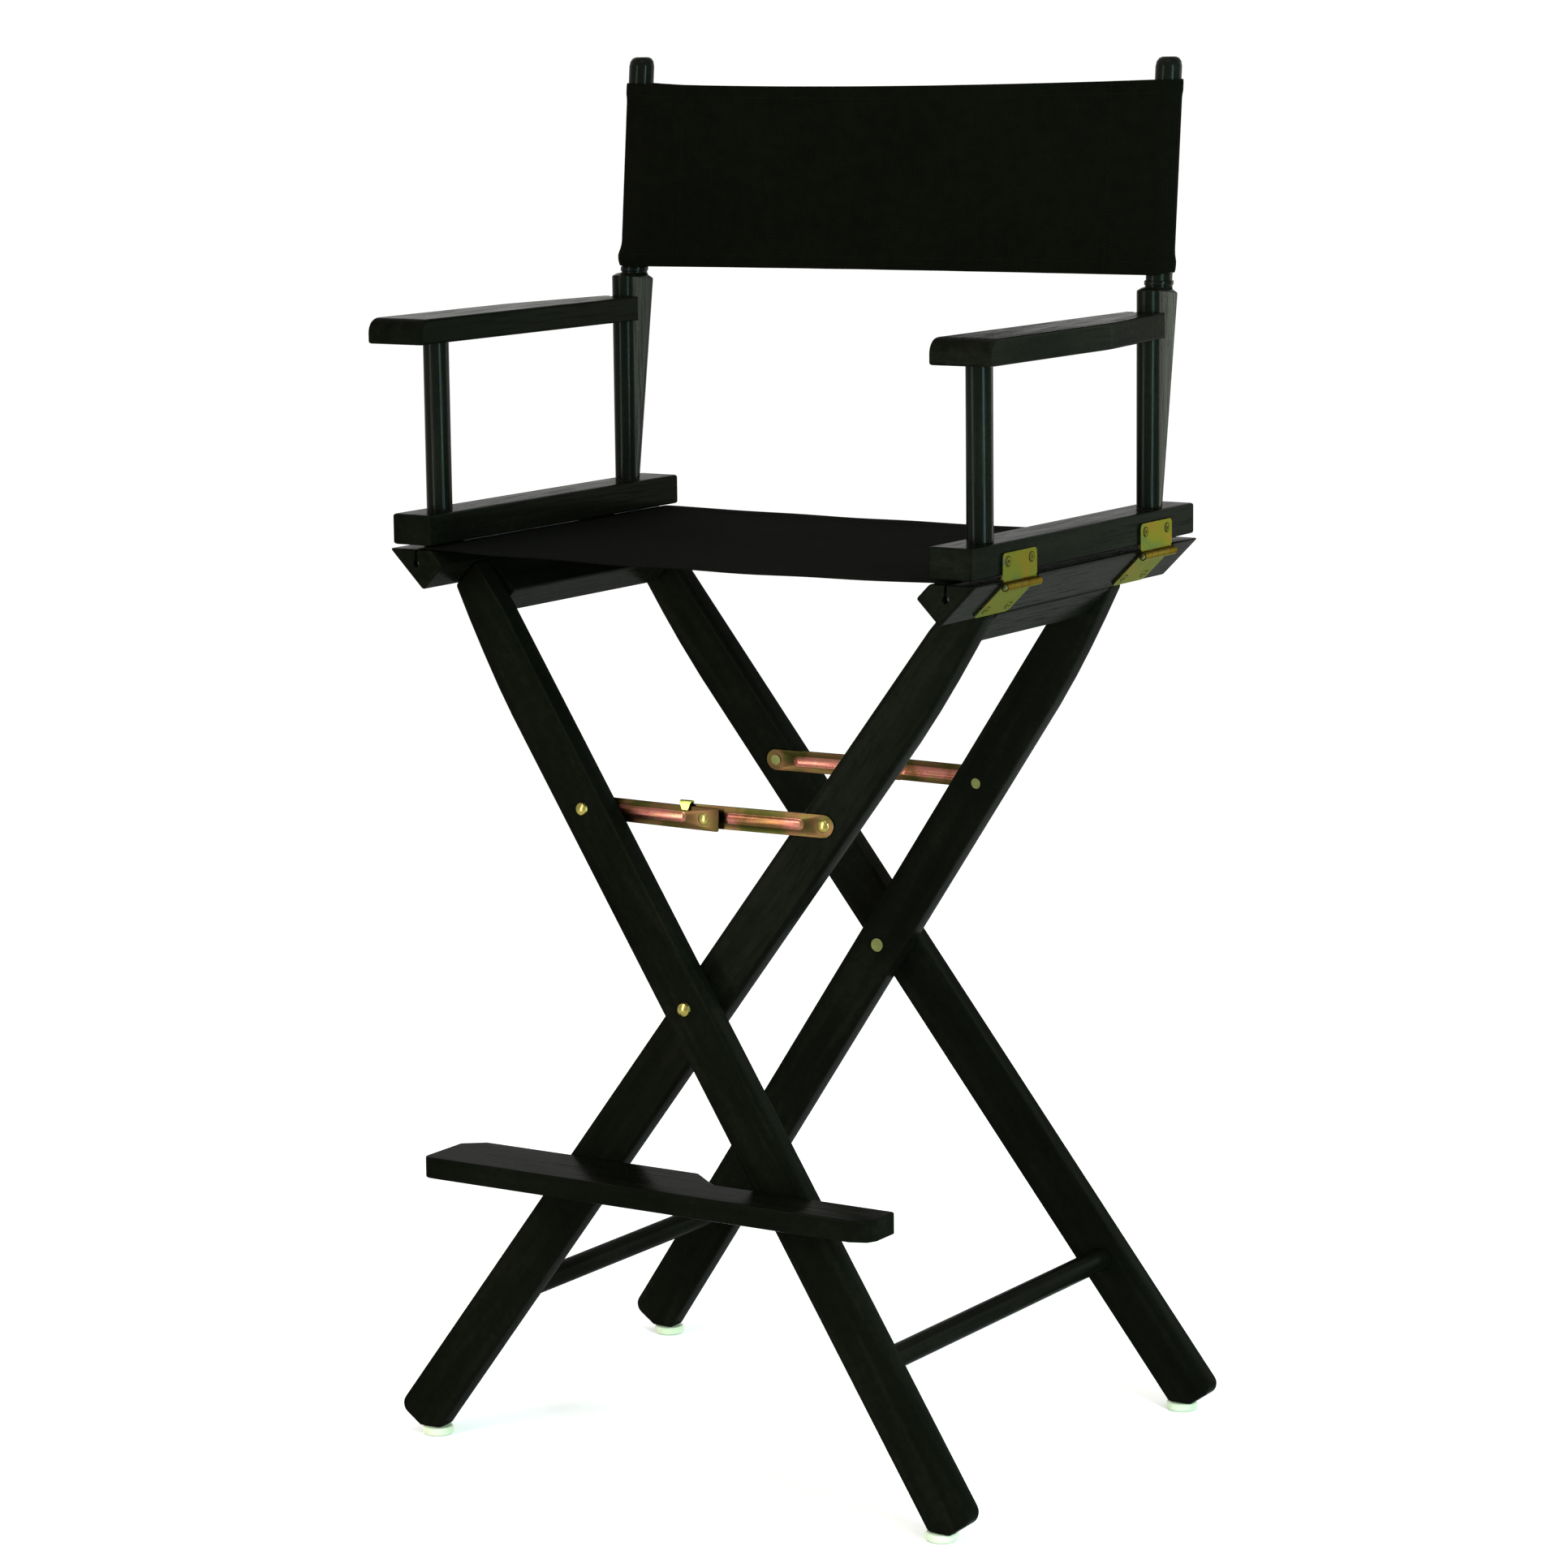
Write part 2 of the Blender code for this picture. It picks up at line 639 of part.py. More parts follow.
def make_hinges(side, side_name, rail_frame, arm_frame):
    """Two butt hinges on one side: upper leaf on the arm frame, lower leaf and pin on the leg rail."""
    facing = Matrix() if side > 0 else Matrix.Rotation(math.pi, 4, "Z")
    down = Matrix.Rotation(math.radians(-135), 4, "Y") @ Matrix.Rotation(math.pi, 4, "Z")
    half = LEAF_WIDTH / 2
    pin_profile = dome_profile(0.0026, 0.0012, half + 0.0002)
    pin_profile += [(PIN_R, half + 0.0002), (PIN_R, -half), (0, -half)]
    for end_name, y in zip(("front", "rear"), HINGE_Y):
        spot = Matrix.Translation((side * HINGE_X, y, HINGE_Z)) @ facing
        name = f"{side_name}_{end_name}_hinge"
        add_part(name + "_upper_leaf", UPPER_LEAF.copy(), ZINC, spot, arm_frame, smooth=30)
        add_part(name + "_lower_leaf", LOWER_LEAF.copy(), ZINC, spot @ down, rail_frame, smooth=30)
        turn = Matrix.Rotation(side * math.pi / 2, 4, "X")
        add_part(name + "_pin", turned_mesh(pin_profile, 12), ZINC, spot @ turn, rail_frame, smooth=35)


def stadium_ring(z, front_y, rear_y, radius, count=24):
    """A level ring with round ends, long in y."""
    ring = []
    for i in range(count):
        angle = 2 * math.pi * (i + 0.5) / count
        middle = rear_y if math.sin(angle) > 0 else front_y
        ring.append(Vector((radius * math.cos(angle), middle + radius * math.sin(angle), z)))
    return ring


def loft_mesh(rings):
    """Side walls between rings of the same count, and flat ends."""
    bm = bmesh.new()
    layers = [[bm.verts.new(point) for point in ring] for ring in rings]
    count = len(rings[0])
    for lower, upper in zip(layers, layers[1:]):
        for i in range(count):
            j = (i + 1) % count
            bm.faces.new((lower[i], lower[j], upper[j], upper[i]))
    bm.faces.new(list(reversed(layers[0])))
    bm.faces.new(layers[-1])
    bmesh.ops.recalc_face_normals(bm, faces=bm.faces)
    mesh = bpy.data.meshes.new("loft")
    bm.to_mesh(mesh)
    bm.free()
    return mesh


def dowel_y(z):
    return NECK_Y + BACK_LEAN * (z - NECK_Z)


def tilted(ring, z):
    """The ring laid on the plane through z at the neck that is square to the leaning dowel."""
    return [Vector((p.x, p.y, z - BACK_LEAN * (p.y - NECK_Y))) for p in ring]


def make_rear_post(name, side, frame):
    """Round at the foot, deepening to a shoulder, then a collar and a leaning dowel for the canvas."""
    radius = POST_R - 0.0003
    deep = REAR_POST_Y + REAR_POST_DEEP
    foot_z = BASE_Z[1] + GAP
    rings = [stadium_ring(foot_z, REAR_POST_Y, REAR_POST_Y + 0.001, radius)]
    for lift, inset in ((0.0, 0.0), (0.0012, 0.0006), (0.0034, 0.0052)):
        ring = stadium_ring(0, REAR_POST_Y + inset / 2, deep - inset / 2, radius - inset / 2)
        rings.append(tilted(ring, SHOULDER_Z + lift))
    for z, radius in (
        (NECK_Z + 0.0010, COLLAR_R - 0.0008),
        (COLLAR_Z[0] - 0.0006, COLLAR_R - 0.0008),
        (COLLAR_Z[0], COLLAR_R),
        (COLLAR_Z[1] - 0.0006, COLLAR_R),
        (COLLAR_Z[1], DOWEL_R),
        (POST_TOP_Z - 0.0080, DOWEL_R),
        (POST_TOP_Z - 0.0038, DOWEL_R - 0.0008),
        (POST_TOP_Z - 0.0012, DOWEL_R - 0.0026),
        (POST_TOP_Z, DOWEL_R - 0.0052),
    ):
        rings.append(stadium_ring(z, dowel_y(z), dowel_y(z), radius))
    matrix = Matrix.Translation((side * POST_X, 0, 0))
    return add_part(name, loft_mesh(rings), WOOD, matrix, frame, smooth=40)


def arm_outline():
    """Right arm seen from above, with the notch that takes the rear post."""
    front, rear = ARM_Y
    inner, outer = ARM_X
    notch = POST_R + 0.0002
    notch_y = REAR_POST_Y - POST_R - 0.0002
    points = [(inner, front), (outer, front)]
    points += [(outer, ARM_TAPER_Y - 0.010), (outer - 0.0008, ARM_TAPER_Y)]
    points += [(ARM_END_X, rear), (POST_X + notch, rear), (POST_X + notch, notch_y)]
    points += [(POST_X - notch, notch_y), (POST_X - notch, rear), (inner, rear)]
    return points


def nose_cutter():
    """What is cut from the square upper front corner of an arm, to leave it round."""
    front, top = ARM_Y[0], (ARM_Z[1] - ARM_Z[0]) / 2
    corner = arc((front + ARM_NOSE_R, top - ARM_NOSE_R), ARM_NOSE_R, 90, 180, 8)
    beyond = 0.004
    corner.insert(0, (front + ARM_NOSE_R, top + beyond))
    corner += [(front - beyond, top - ARM_NOSE_R), (front - beyond, top + beyond)]
    return outline_mesh(corner, ARM_X[1] + beyond, along="X")


def make_arm(name, side, frame):
    outline = arm_outline() if side > 0 else mirrored(arm_outline())
    mesh = outline_mesh(outline, (ARM_Z[1] - ARM_Z[0]) / 2)
    mesh = combined(mesh, [("DIFFERENCE", nose_cutter())])
    middle_z = (ARM_Z[0] + ARM_Z[1]) / 2
    obj = add_part(name, mesh, WOOD, Matrix.Translation((0, 0, middle_z)), frame, smooth=20)
    notch_y = REAR_POST_Y - POST_R - 0.002
    soften(obj, 0.0020, 2, lambda middle: 0.1 if middle.y > notch_y else 1.0)
    return obj


def make_arm_frame(side, side_name, frame):
    base = box_mesh(
        (min(side * BASE_X[0], side * BASE_X[1]), MID_Y - RAIL_HALF, BASE_Z[0]),
        (max(side * BASE_X[0], side * BASE_X[1]), MID_Y + RAIL_HALF, BASE_Z[1]),
    )
    soften(add_part(side_name + "_arm_base", base, WOOD, None, frame, smooth=35), 0.0022, 2)
    bottom = BASE_Z[1] + GAP
    top = ARM_Z[0] - GAP
    post = turned_mesh([(0, top), (POST_R, top), (POST_R, bottom), (0, bottom)], 28)
    matrix = Matrix.Translation((side * POST_X, FRONT_POST_Y, 0))
    add_part(side_name + "_front_post", post, WOOD, matrix, frame, smooth=40)
    make_rear_post(side_name + "_rear_post", side, frame)
    make_arm(side_name + "_arm", side, frame)


def seat_profile():
    """Outer outline of the seat canvas in x and z, with a loop round each rod."""
    half = SEAT_THICK / 2
    loop = ROD_R + 0.0010
    join = math.degrees(math.asin(half / loop))
    right = [(ROD_X - half, SEAT_Z - half)]
    right += arc((ROD_X, ROD_Z), loop, 90 + join, 450 - join, 16)
    right += [(ROD_X + half, SEAT_Z), (ROD_X, SEAT_Z + half)]
    return mirrored(right) + right


def make_seat(name, frame):
    holes = [circle((side * ROD_X, ROD_Z), ROD_R + 0.0002, 14) for side in (-1, 1)]
    mesh = outline_mesh(seat_profile(), SEAT_Y, holes, along="Y")
    return add_part(name, mesh, CANVAS, Matrix.Translation((0, MID_Y, 0)), frame, smooth=40)


def make_seat_rod(name, side, frame):
    mesh = cylinder_mesh(ROD_R, -ROD_HALF, ROD_HALF, 14)
    matrix = Matrix.Translation((side * ROD_X, MID_Y, ROD_Z))
    return add_part(name, mesh, BRONZE, matrix, frame, smooth=40)


def sleeve_arc(radius, flap):
    """Round a dowel from its front, to where a straight flap to the given point leaves it."""
    across, back = flap[0] - POST_X, flap[1]
    towards = math.degrees(math.atan2(back, across)) % 360
    leave = towards - math.degrees(math.acos(radius / math.hypot(across, back)))
    return arc((POST_X, 0), radius, -90, leave, 14)


def back_profile():
    """Outline and sleeve openings of the back canvas, about the dowels' centre line."""
    inside = DOWEL_R + GAP
    outside = inside + BACK_THICK
    flap = (POST_X - BACK_FLAP, 2 * BACK_THICK - outside)
    fold = (flap[0] + 0.004, 0.6 * BACK_THICK - inside)
    right = sleeve_arc(outside, flap) + [flap]
    sleeve = sleeve_arc(inside, fold) + [fold, (fold[0], -inside)]
    return mirrored(right) + right, [sleeve, mirrored(sleeve)]


def make_back(name, frame):
    half = (BACK_Z[1] - BACK_Z[0]) / 2
    middle = (BACK_Z[0] + BACK_Z[1]) / 2
    outline, sleeves = back_profile()
    mesh = outline_mesh(outline, half, sleeves)
    for vertex in mesh.vertices:
        vertex.co.y += BACK_LEAN * vertex.co.z
    matrix = Matrix.Translation((0, dowel_y(middle), middle))
    return add_part(name, mesh, CANVAS, matrix, frame, smooth=40)


def rest_pivot():
    """World matrix on the footrest's bolt in the leg's middle plane, with Y along the bolt."""
    along = (REST_PIVOT_Z - CROSS_Z) / COS
    x, z = on_leg(1, 0, along)
    place = Matrix.Translation((x, leg_y(-1, True, along), z))
    return place @ leg_basis(-1, True).to_4x4()


def make_footrest(pivot, frame):
    front, deep, narrow = REST_FRONT_Y, REST_DEEP_Y, REST_NARROW_Y
    left, right = REST_X
    step_start, step_end = REST_STEP_X
    outline = arc((left + 0.008, front + 0.008), 0.008, 180, 270, 4)
    outline += [(right - 0.018, front), (right - 0.004, front + 0.006), (right, front + 0.014)]
    outline += [(right, narrow - 0.002), (right - 0.002, narrow), (step_end, narrow)]
    outline += [(step_start, deep), (left + 0.018, deep), (left, deep - 0.014)]
    mesh = outline_mesh(outline, REST_THICK / 2)
    middle = Matrix.Translation((0, 0, REST_TOP_Z - REST_THICK / 2))
    board = add_part("footrest_board", mesh, WOOD, middle, frame, smooth=35)
    soften(board, 0.0025, 2)
    bore = board.modifiers.new("Bore", "BOOLEAN")
    bore.operation = "DIFFERENCE"
    bore.solver = "EXACT"
    reach = narrow - pivot.translation.y
    cutter = bpy.data.objects.new(
        "footrest_bore", cylinder_mesh(BOLT_HOLE_R, reach - REST_BOLT_DEEP - 0.001, 0.0)
    )
    cutter.hide_render = True
    cutter.display_type = "WIRE"
    CUTTERS.objects.link(cutter)
    place(cutter, pivot, None)
    bore.object = cutter


def make_rest_bolt(name, pivot, frame):
    """From a flat head behind the front outer leg, through it and a washer, into the board's rear edge."""
    reach = pivot.translation.y - REST_NARROW_Y
    face = LEG_THICK / 2
    profile = [(0, reach + REST_BOLT_DEEP), (BOLT_R - 0.0006, reach + REST_BOLT_DEEP)]
    profile += [(BOLT_R, reach + REST_BOLT_DEEP - 0.0006), (BOLT_R, face + 0.0012)]
    profile += [(0.0070, face + 0.0012), (0.0070, face + 0.0002), (BOLT_R, face + 0.0002)]
    profile += [(BOLT_R, -face - 0.0002), (0.0066, -face - 0.0002)]
    profile += [(0.0062, -face - 0.0016), (0, -face - 0.0020)]
    matrix = pivot @ Matrix.Rotation(math.pi / 2, 4, "X")
    return add_part(name, turned_mesh(profile), BLACK_STEEL, matrix, frame, smooth=35)


def rest_stud_s():
    """Distance below the bolt of the stud that the footrest lies on."""
    return (CROSS_Z - (REST_TOP_Z - REST_THICK - GAP - STUD_R)) / COS


def make_rest_stud(name, frame):
    x, z = on_leg(-1, 0, -rest_stud_s())
    y = leg_y(-1, False, -rest_stud_s())
    inside = y + LEG_THICK / 2 - 0.002
    outside = REST_NARROW_Y - 0.014
    profile = [(0, inside - outside), (STUD_R - 0.001, inside - outside)]
    profile += [(STUD_R, inside - outside - 0.001), (STUD_R, 0), (0, 0)]
    matrix = Matrix.Translation((x, inside, z)) @ Matrix.Rotation(math.pi / 2, 4, "X")
    return add_part(name, turned_mesh(profile, 14), BLACK_STEEL, matrix, frame, smooth=35)


clear_scene()
PARTS = make_collection("director_chair")
CUTTERS = make_collection("cutters")
WOOD = make_material("black lacquered wood", (0.012, 0.013, 0.010), 0.32)
CANVAS = make_material("black canvas", (0.010, 0.010, 0.009), 0.95)
ZINC = make_material("yellow zinc", (0.42, 0.40, 0.16), 0.35, 1.0)
BRONZE = make_material("bronze zinc", (0.38, 0.28, 0.20), 0.40, 1.0)
BRASS = make_material("brass rivet", (0.45, 0.38, 0.20), 0.35, 1.0)
BLACK_STEEL = make_material("black steel", (0.02, 0.02, 0.02), 0.45, 0.8)
NYLON = make_material("pale nylon", (0.60, 0.65, 0.52), 0.45)
UPPER_LEAF = leaf_mesh(LEAF_UP, (1, 3))
LOWER_LEAF = leaf_mesh(LEAF_DOWN, (0, 2, 4))

outer_frame = add_axis("outer_frame", (0, MID_Y, CROSS_Z))
inner_frame = add_axis("inner_frame", (0, MID_Y, CROSS_Z), outer_frame)
left_arm_frame = add_axis("left_arm_frame", (-HINGE_X, MID_Y, HINGE_Z), outer_frame)
right_arm_frame = add_axis("right_arm_frame", (HINGE_X, MID_Y, HINGE_Z), inner_frame)
seat_frame = add_axis("seat_frame", (-ROD_X, MID_Y, ROD_Z), outer_frame)
bolt_axis = rest_pivot()
rest_frame = add_axis(
    "rest_frame", bolt_axis.translation, outer_frame, leg_basis(-1, True)
)

rest_along = (REST_PIVOT_Z - CROSS_Z) / COS
cross_hole = (0.0, 0.0, BOLT_HOLE_R)
stay_hole = (0.0, STAY_S, LEG_RIVET_HOLE_R)
rest_hole = (0.0, rest_along, REST_HOLE_R)
stud_hole = (0.0, -rest_stud_s(), STUD_R + GAP)
make_leg("front_outer_leg", -1, True, [cross_hole, stay_hole, rest_hole], outer_frame)
make_leg("rear_outer_leg", 1, True, [cross_hole, stay_hole], outer_frame)
make_leg("front_inner_leg", -1, False, [cross_hole, stay_hole, stud_hole], inner_frame)
make_leg("rear_inner_leg", 1, False, [cross_hole, stay_hole], inner_frame)
make_leg_rail("left_leg_rail", -1, outer_frame)
make_leg_rail("right_leg_rail", 1, inner_frame)
make_batten("left_rail_batten", -1, True, outer_frame)
make_batten("right_rail_batten", 1, False, inner_frame)
make_stretcher("right_stretcher", 1, True, outer_frame)
make_stretcher("left_stretcher", -1, False, inner_frame)

for end_name, front in (("front", -1), ("rear", 1)):
    make_glide(end_name + "_outer_glide", front, True, outer_frame)
    make_glide(end_name + "_inner_glide", front, False, inner_frame)
    make_cross_bolt(end_name + "_cross_bolt", front, outer_frame)
    make_spacer(end_name + "_cross_spacer", front, outer_frame)
    for kind, outer, frame in (("outer", True, outer_frame), ("inner", False, inner_frame)):
        name = f"{end_name}_{kind}_stay"
        spot = stay_pivot(front, outer)
        pivot = add_axis(name + "_axis", spot, frame, leg_basis(front, outer))
        make_stay(name, front, outer, pivot)
        make_leg_rivet(name + "_rivet", front, outer, pivot, frame)
        make_middle_rivet(name + "_middle_rivet", front, outer, pivot)

make_arm_frame(-1, "left", left_arm_frame)
make_arm_frame(1, "right", right_arm_frame)
make_hinges(-1, "left", outer_frame, left_arm_frame)
make_hinges(1, "right", inner_frame, right_arm_frame)
make_back("back_canvas", left_arm_frame)
make_seat("seat_canvas", seat_frame)
make_seat_rod("left_seat_rod", -1, seat_frame)
make_seat_rod("right_seat_rod", 1, inner_frame)
make_footrest(bolt_axis, rest_frame)
make_rest_bolt("footrest_bolt", bolt_axis, outer_frame)
make_rest_stud("footrest_stud", inner_frame)
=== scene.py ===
"""Looks of the folding director chair: black lacquered wood, black canvas, plated hinges and stays."""

import math
import random

import bmesh
import bpy
from mathutils import Matrix, Vector


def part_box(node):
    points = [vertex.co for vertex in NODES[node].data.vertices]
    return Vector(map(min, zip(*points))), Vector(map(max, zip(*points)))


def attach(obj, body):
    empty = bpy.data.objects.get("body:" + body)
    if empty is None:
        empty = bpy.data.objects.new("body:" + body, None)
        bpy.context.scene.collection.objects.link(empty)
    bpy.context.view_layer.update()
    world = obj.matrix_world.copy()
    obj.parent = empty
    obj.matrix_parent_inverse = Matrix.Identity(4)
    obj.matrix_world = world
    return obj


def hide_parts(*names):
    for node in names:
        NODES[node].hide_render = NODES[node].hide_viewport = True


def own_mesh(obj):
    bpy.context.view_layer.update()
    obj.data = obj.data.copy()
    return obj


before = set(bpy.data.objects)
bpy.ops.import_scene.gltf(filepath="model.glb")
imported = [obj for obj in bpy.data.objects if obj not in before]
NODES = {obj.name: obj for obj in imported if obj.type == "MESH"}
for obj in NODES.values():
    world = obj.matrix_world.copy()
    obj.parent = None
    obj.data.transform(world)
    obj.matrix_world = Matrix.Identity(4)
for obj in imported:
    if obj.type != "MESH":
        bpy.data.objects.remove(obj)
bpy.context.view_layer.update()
SCENE = bpy.context.scene
RNG = random.Random(11)

# Measures of the CAD, in metres
LEG_ANGLE = math.radians(35.3)  # each leg from the vertical, seen from the front
LEG_LEAN = 0.0844  # how far a leg moves towards the middle per metre along it
BACK_LEAN = 0.0945  # rearward lean of the dowels, metres per metre
POST_X = 0.2602
DOWEL_R = 0.0110
ROD_X = 0.2540
ROD_Z = 0.7484
RAIL_FACE = 0.030  # lower inner face of a leg rail, and so of its batten
HINGE_X = 0.2808
HINGE_Z = 0.75435
LEAF_DOWN = 0.0385  # end of a lower leaf from the hinge axis
LEAF_BACK = 0.0032  # back face of a leaf from the hinge axis
LEAF_THICK = 0.0015

# The photo's view
CAMERA_PLACE = (2.106, -3.3172, 1.2205)
CAMERA_BEARING = math.radians(32.5)  # from the front towards the right
CAMERA_DROP = math.radians(9.57)
CAMERA_ROLL = -0.0114
CAMERA_LENS = 109.36  # on a 36 mm sensor


# ---------------------------------------------------------------- camera, floor and light


def build_camera():
    camera = bpy.data.objects.new("camera", bpy.data.cameras.new("camera"))
    SCENE.collection.objects.link(camera)
    ahead = Vector((
        -math.sin(CAMERA_BEARING) * math.cos(CAMERA_DROP),
        math.cos(CAMERA_BEARING) * math.cos(CAMERA_DROP),
        -math.sin(CAMERA_DROP),
    ))
    right = Vector((math.cos(CAMERA_BEARING), math.sin(CAMERA_BEARING), 0.0))
    up = right.cross(ahead)
    across = math.cos(CAMERA_ROLL) * right + math.sin(CAMERA_ROLL) * up
    above = -math.sin(CAMERA_ROLL) * right + math.cos(CAMERA_ROLL) * up
    turn = Matrix((across, above, -ahead)).transposed().to_4x4()
    camera.matrix_world = Matrix.Translation(CAMERA_PLACE) @ turn
    camera.data.sensor_width = 36.0
    camera.data.lens = CAMERA_LENS
    camera.data.clip_start = 0.1
    camera.data.clip_end = 60.0
    SCENE.camera = camera


def build_studio():
    """A white floor just under the glides, a white sky, tall strips, a top light and an even fill."""
    floor_mesh = bpy.data.meshes.new("floor")
    far, level = 400.0, -0.0004
    corners = [(x * far, y * far, level) for x, y in ((-1, -1), (1, -1), (1, 1), (-1, 1))]
    floor_mesh.from_pydata(corners, [], [(0, 1, 2, 3)])
    floor = bpy.data.objects.new("floor", floor_mesh)
    SCENE.collection.objects.link(floor)
    floor_mesh.materials.append(plain_material("floor_paint", (0.94, 0.94, 0.935), 0.9, specular=0.0))

    world = bpy.data.worlds.new("studio")
    SCENE.world = world
    world.use_nodes = True
    sky = world.node_tree.nodes["Background"]
    sky.inputs["Color"].default_value = (1.0, 1.0, 0.985, 1.0)
    sky.inputs["Strength"].default_value = 1.03
    SCENE.view_settings.view_transform = "Standard"

    add_strip("left_strip", -22.0, 2.3, (1.0, 0.98, 0.90), 46.0)
    add_strip("right_strip", 67.0, 2.3, (0.62, 1.0, 0.97), 84.0)
    add_strip("back_strip", 150.0, 2.6, (0.90, 1.0, 0.80), 14.0)
    add_area("top", (0.5, -0.9, 3.2), (0.0, 0.0, 0.6), 1.0, 1.0, 16.0, (1.0, 0.99, 0.93))
    sun = bpy.data.lights.new("fill", "SUN")
    sun.energy = 0.30
    sun.angle = math.radians(150)
    lamp = bpy.data.objects.new("fill", sun)
    SCENE.collection.objects.link(lamp)


def add_strip(name, bearing, distance, colour, power):
    """A tall narrow softbox, standing on a bearing measured from the front towards the right."""
    turn = math.radians(bearing)
    x, y = distance * math.sin(turn), -distance * math.cos(turn)
    add_area(name, (x, y, 0.95), (0.0, 0.0, 0.95), 0.30, 1.85, power, colour)


def add_area(name, place, target, width, height, power, colour):
    """A rectangular light that faces the target and isn't seen by the camera."""
    light = bpy.data.lights.new(name, "AREA")
    light.shape = "RECTANGLE"
    light.size = width
    light.size_y = height
    light.energy = power
    light.color = colour
    lamp = bpy.data.objects.new(name, light)
    SCENE.collection.objects.link(lamp)
    lamp.location = place
    lamp.rotation_euler = (Vector(target) - Vector(place)).to_track_quat("-Z", "Y").to_euler()
    lamp.visible_camera = False


# ---------------------------------------------------------------- materials


class Nodes:
    """Short names for building a node tree."""

    def __init__(self, name):
        self.material = bpy.data.materials.new(name)
        self.material.use_nodes = True
        self.tree = self.material.node_tree
        self.shader = self.tree.nodes["Principled BSDF"]

    def node(self, kind, **values):
        made = self.tree.nodes.new(kind)
        for key, value in values.items():
            setattr(made, key, value)
        return made

    def link(self, source, target):
        self.tree.links.new(source, target)

    def coordinates(self, turn=(0, 0, 0), scale=(1, 1, 1)):
        """Object coordinates, for a texture that is stretched by scale and then turned."""
        place = self.node("ShaderNodeTexCoord")
        mapping = self.node("ShaderNodeMapping", vector_type="TEXTURE")
        mapping.inputs["Rotation"].default_value = turn
        mapping.inputs["Scale"].default_value = scale
        self.link(place.outputs["Object"], mapping.inputs["Vector"])
        return mapping.outputs["Vector"]

    def noise(self, vector, scale, detail, roughness, distortion=0.0):
        made = self.node("ShaderNodeTexNoise")
        made.inputs["Scale"].default_value = scale
        made.inputs["Detail"].default_value = detail
        made.inputs["Roughness"].default_value = roughness
        made.inputs["Distortion"].default_value = distortion
        self.link(vector, made.inputs["Vector"])
        return made.outputs["Fac"]

    def ramp(self, value, stops):
        """Stops are (position, colour) or (position, grey)."""
        made = self.node("ShaderNodeValToRGB")
        while len(made.color_ramp.elements) < len(stops):
            made.color_ramp.elements.new(0.5)
        for element, (position, colour) in zip(made.color_ramp.elements, stops):
            element.position = position
            rgb = colour if isinstance(colour, tuple) else (colour, colour, colour)
            element.color = (*rgb, 1.0)
        self.link(value, made.inputs["Fac"])
        return made.outputs["Color"]

    def math(self, operation, first, second):
        made = self.node("ShaderNodeMath", operation=operation)
        for socket, value in zip(made.inputs, (first, second)):
            if isinstance(value, (int, float)):
                socket.default_value = value
            else:
                self.link(value, socket)
        return made.outputs[0]

    def bump(self, height, strength, distance, before=None):
        made = self.node("ShaderNodeBump")
        made.inputs["Strength"].default_value = strength
        made.inputs["Distance"].default_value = distance
        self.link(height, made.inputs["Height"])
        if before is not None:
            self.link(before, made.inputs["Normal"])
        return made.outputs["Normal"]

    def finish(self, colour, roughness, normal=None, **values):
        """The material, its shader fed with constants or with other nodes' sockets."""
        for socket, value in (("Base Color", colour), ("Roughness", roughness), ("Normal", normal)):
            if value is None:
                continue
            if isinstance(value, float):
                self.shader.inputs[socket].default_value = value
            elif isinstance(value, tuple):
                self.shader.inputs[socket].default_value = (*value, 1.0)
            else:
                self.link(value, self.shader.inputs[socket])
        for key, value in values.items():
            self.shader.inputs[key.replace("_", " ")].default_value = value
        return self.material


def plain_material(name, colour, roughness, specular):
    made = Nodes(name)
    return made.finish(colour, roughness, Specular_IOR_Level=specular)


# How bright a lacquered face gets at a glancing angle, and the tint of what it reflects
PLANK_SHINE = (0.0035, (0.80, 1.0, 0.70, 1.0))
POST_SHINE = (0.035, (0.85, 1.0, 0.95, 1.0))
GRAIN_STRETCH = 28.0


def wood_material(name, turn, seed, turned_post):
    """Satin black lacquer over open-grained wood. The turn says which way the grain runs."""
    made = Nodes(name)
    shine, tint = POST_SHINE if turned_post else PLANK_SHINE
    along = made.coordinates(turn, (1.0, 1.0, GRAIN_STRETCH))
    shifted = made.node("ShaderNodeVectorMath", operation="ADD")
    shifted.inputs[1].default_value = (seed * 0.37, seed * 0.11, seed * 0.05)
    made.link(along, shifted.inputs[0])
    grain = made.noise(shifted.outputs[0], 520.0, 3.0, 0.6, 0.15)
    pores = made.ramp(grain, ((0.36, 0.0), (0.50, 1.0)))
    band = made.noise(shifted.outputs[0], 70.0, 2.0, 0.5, 0.6)
    plain = made.coordinates()
    patch = made.noise(plain, 9.0, 3.0, 0.55)
    mottle = made.noise(plain, 160.0, 4.0, 0.65)
    grit = made.noise(plain, 1400.0, 2.0, 0.6)
    tone = made.math("ADD", made.math("MULTIPLY", band, 0.40), made.math("MULTIPLY", patch, 0.35))
    tone = made.math("ADD", tone, made.math("MULTIPLY", mottle, 0.25))
    stops = (
        (0.32, (0.0012, 0.0013, 0.0008)),
        (0.52, (0.0024, 0.0026, 0.0017)),
        (0.70, (0.0052, 0.0051, 0.0034)),
    )
    colour = made.ramp(tone, stops)
    rough = made.math("ADD", 0.09, made.math("MULTIPLY", tone, 0.22))
    rough = made.math("ADD", rough, made.math("MULTIPLY", made.math("SUBTRACT", 1.0, pores), 0.16))
    normal = made.bump(pores, 0.16, 0.00014)
    normal = made.bump(band, 0.10, 0.0003, normal)
    normal = made.bump(grit, 0.06, 0.00008, normal)
    return made.finish(colour, rough, normal, Specular_IOR_Level=shine, Specular_Tint=tint)


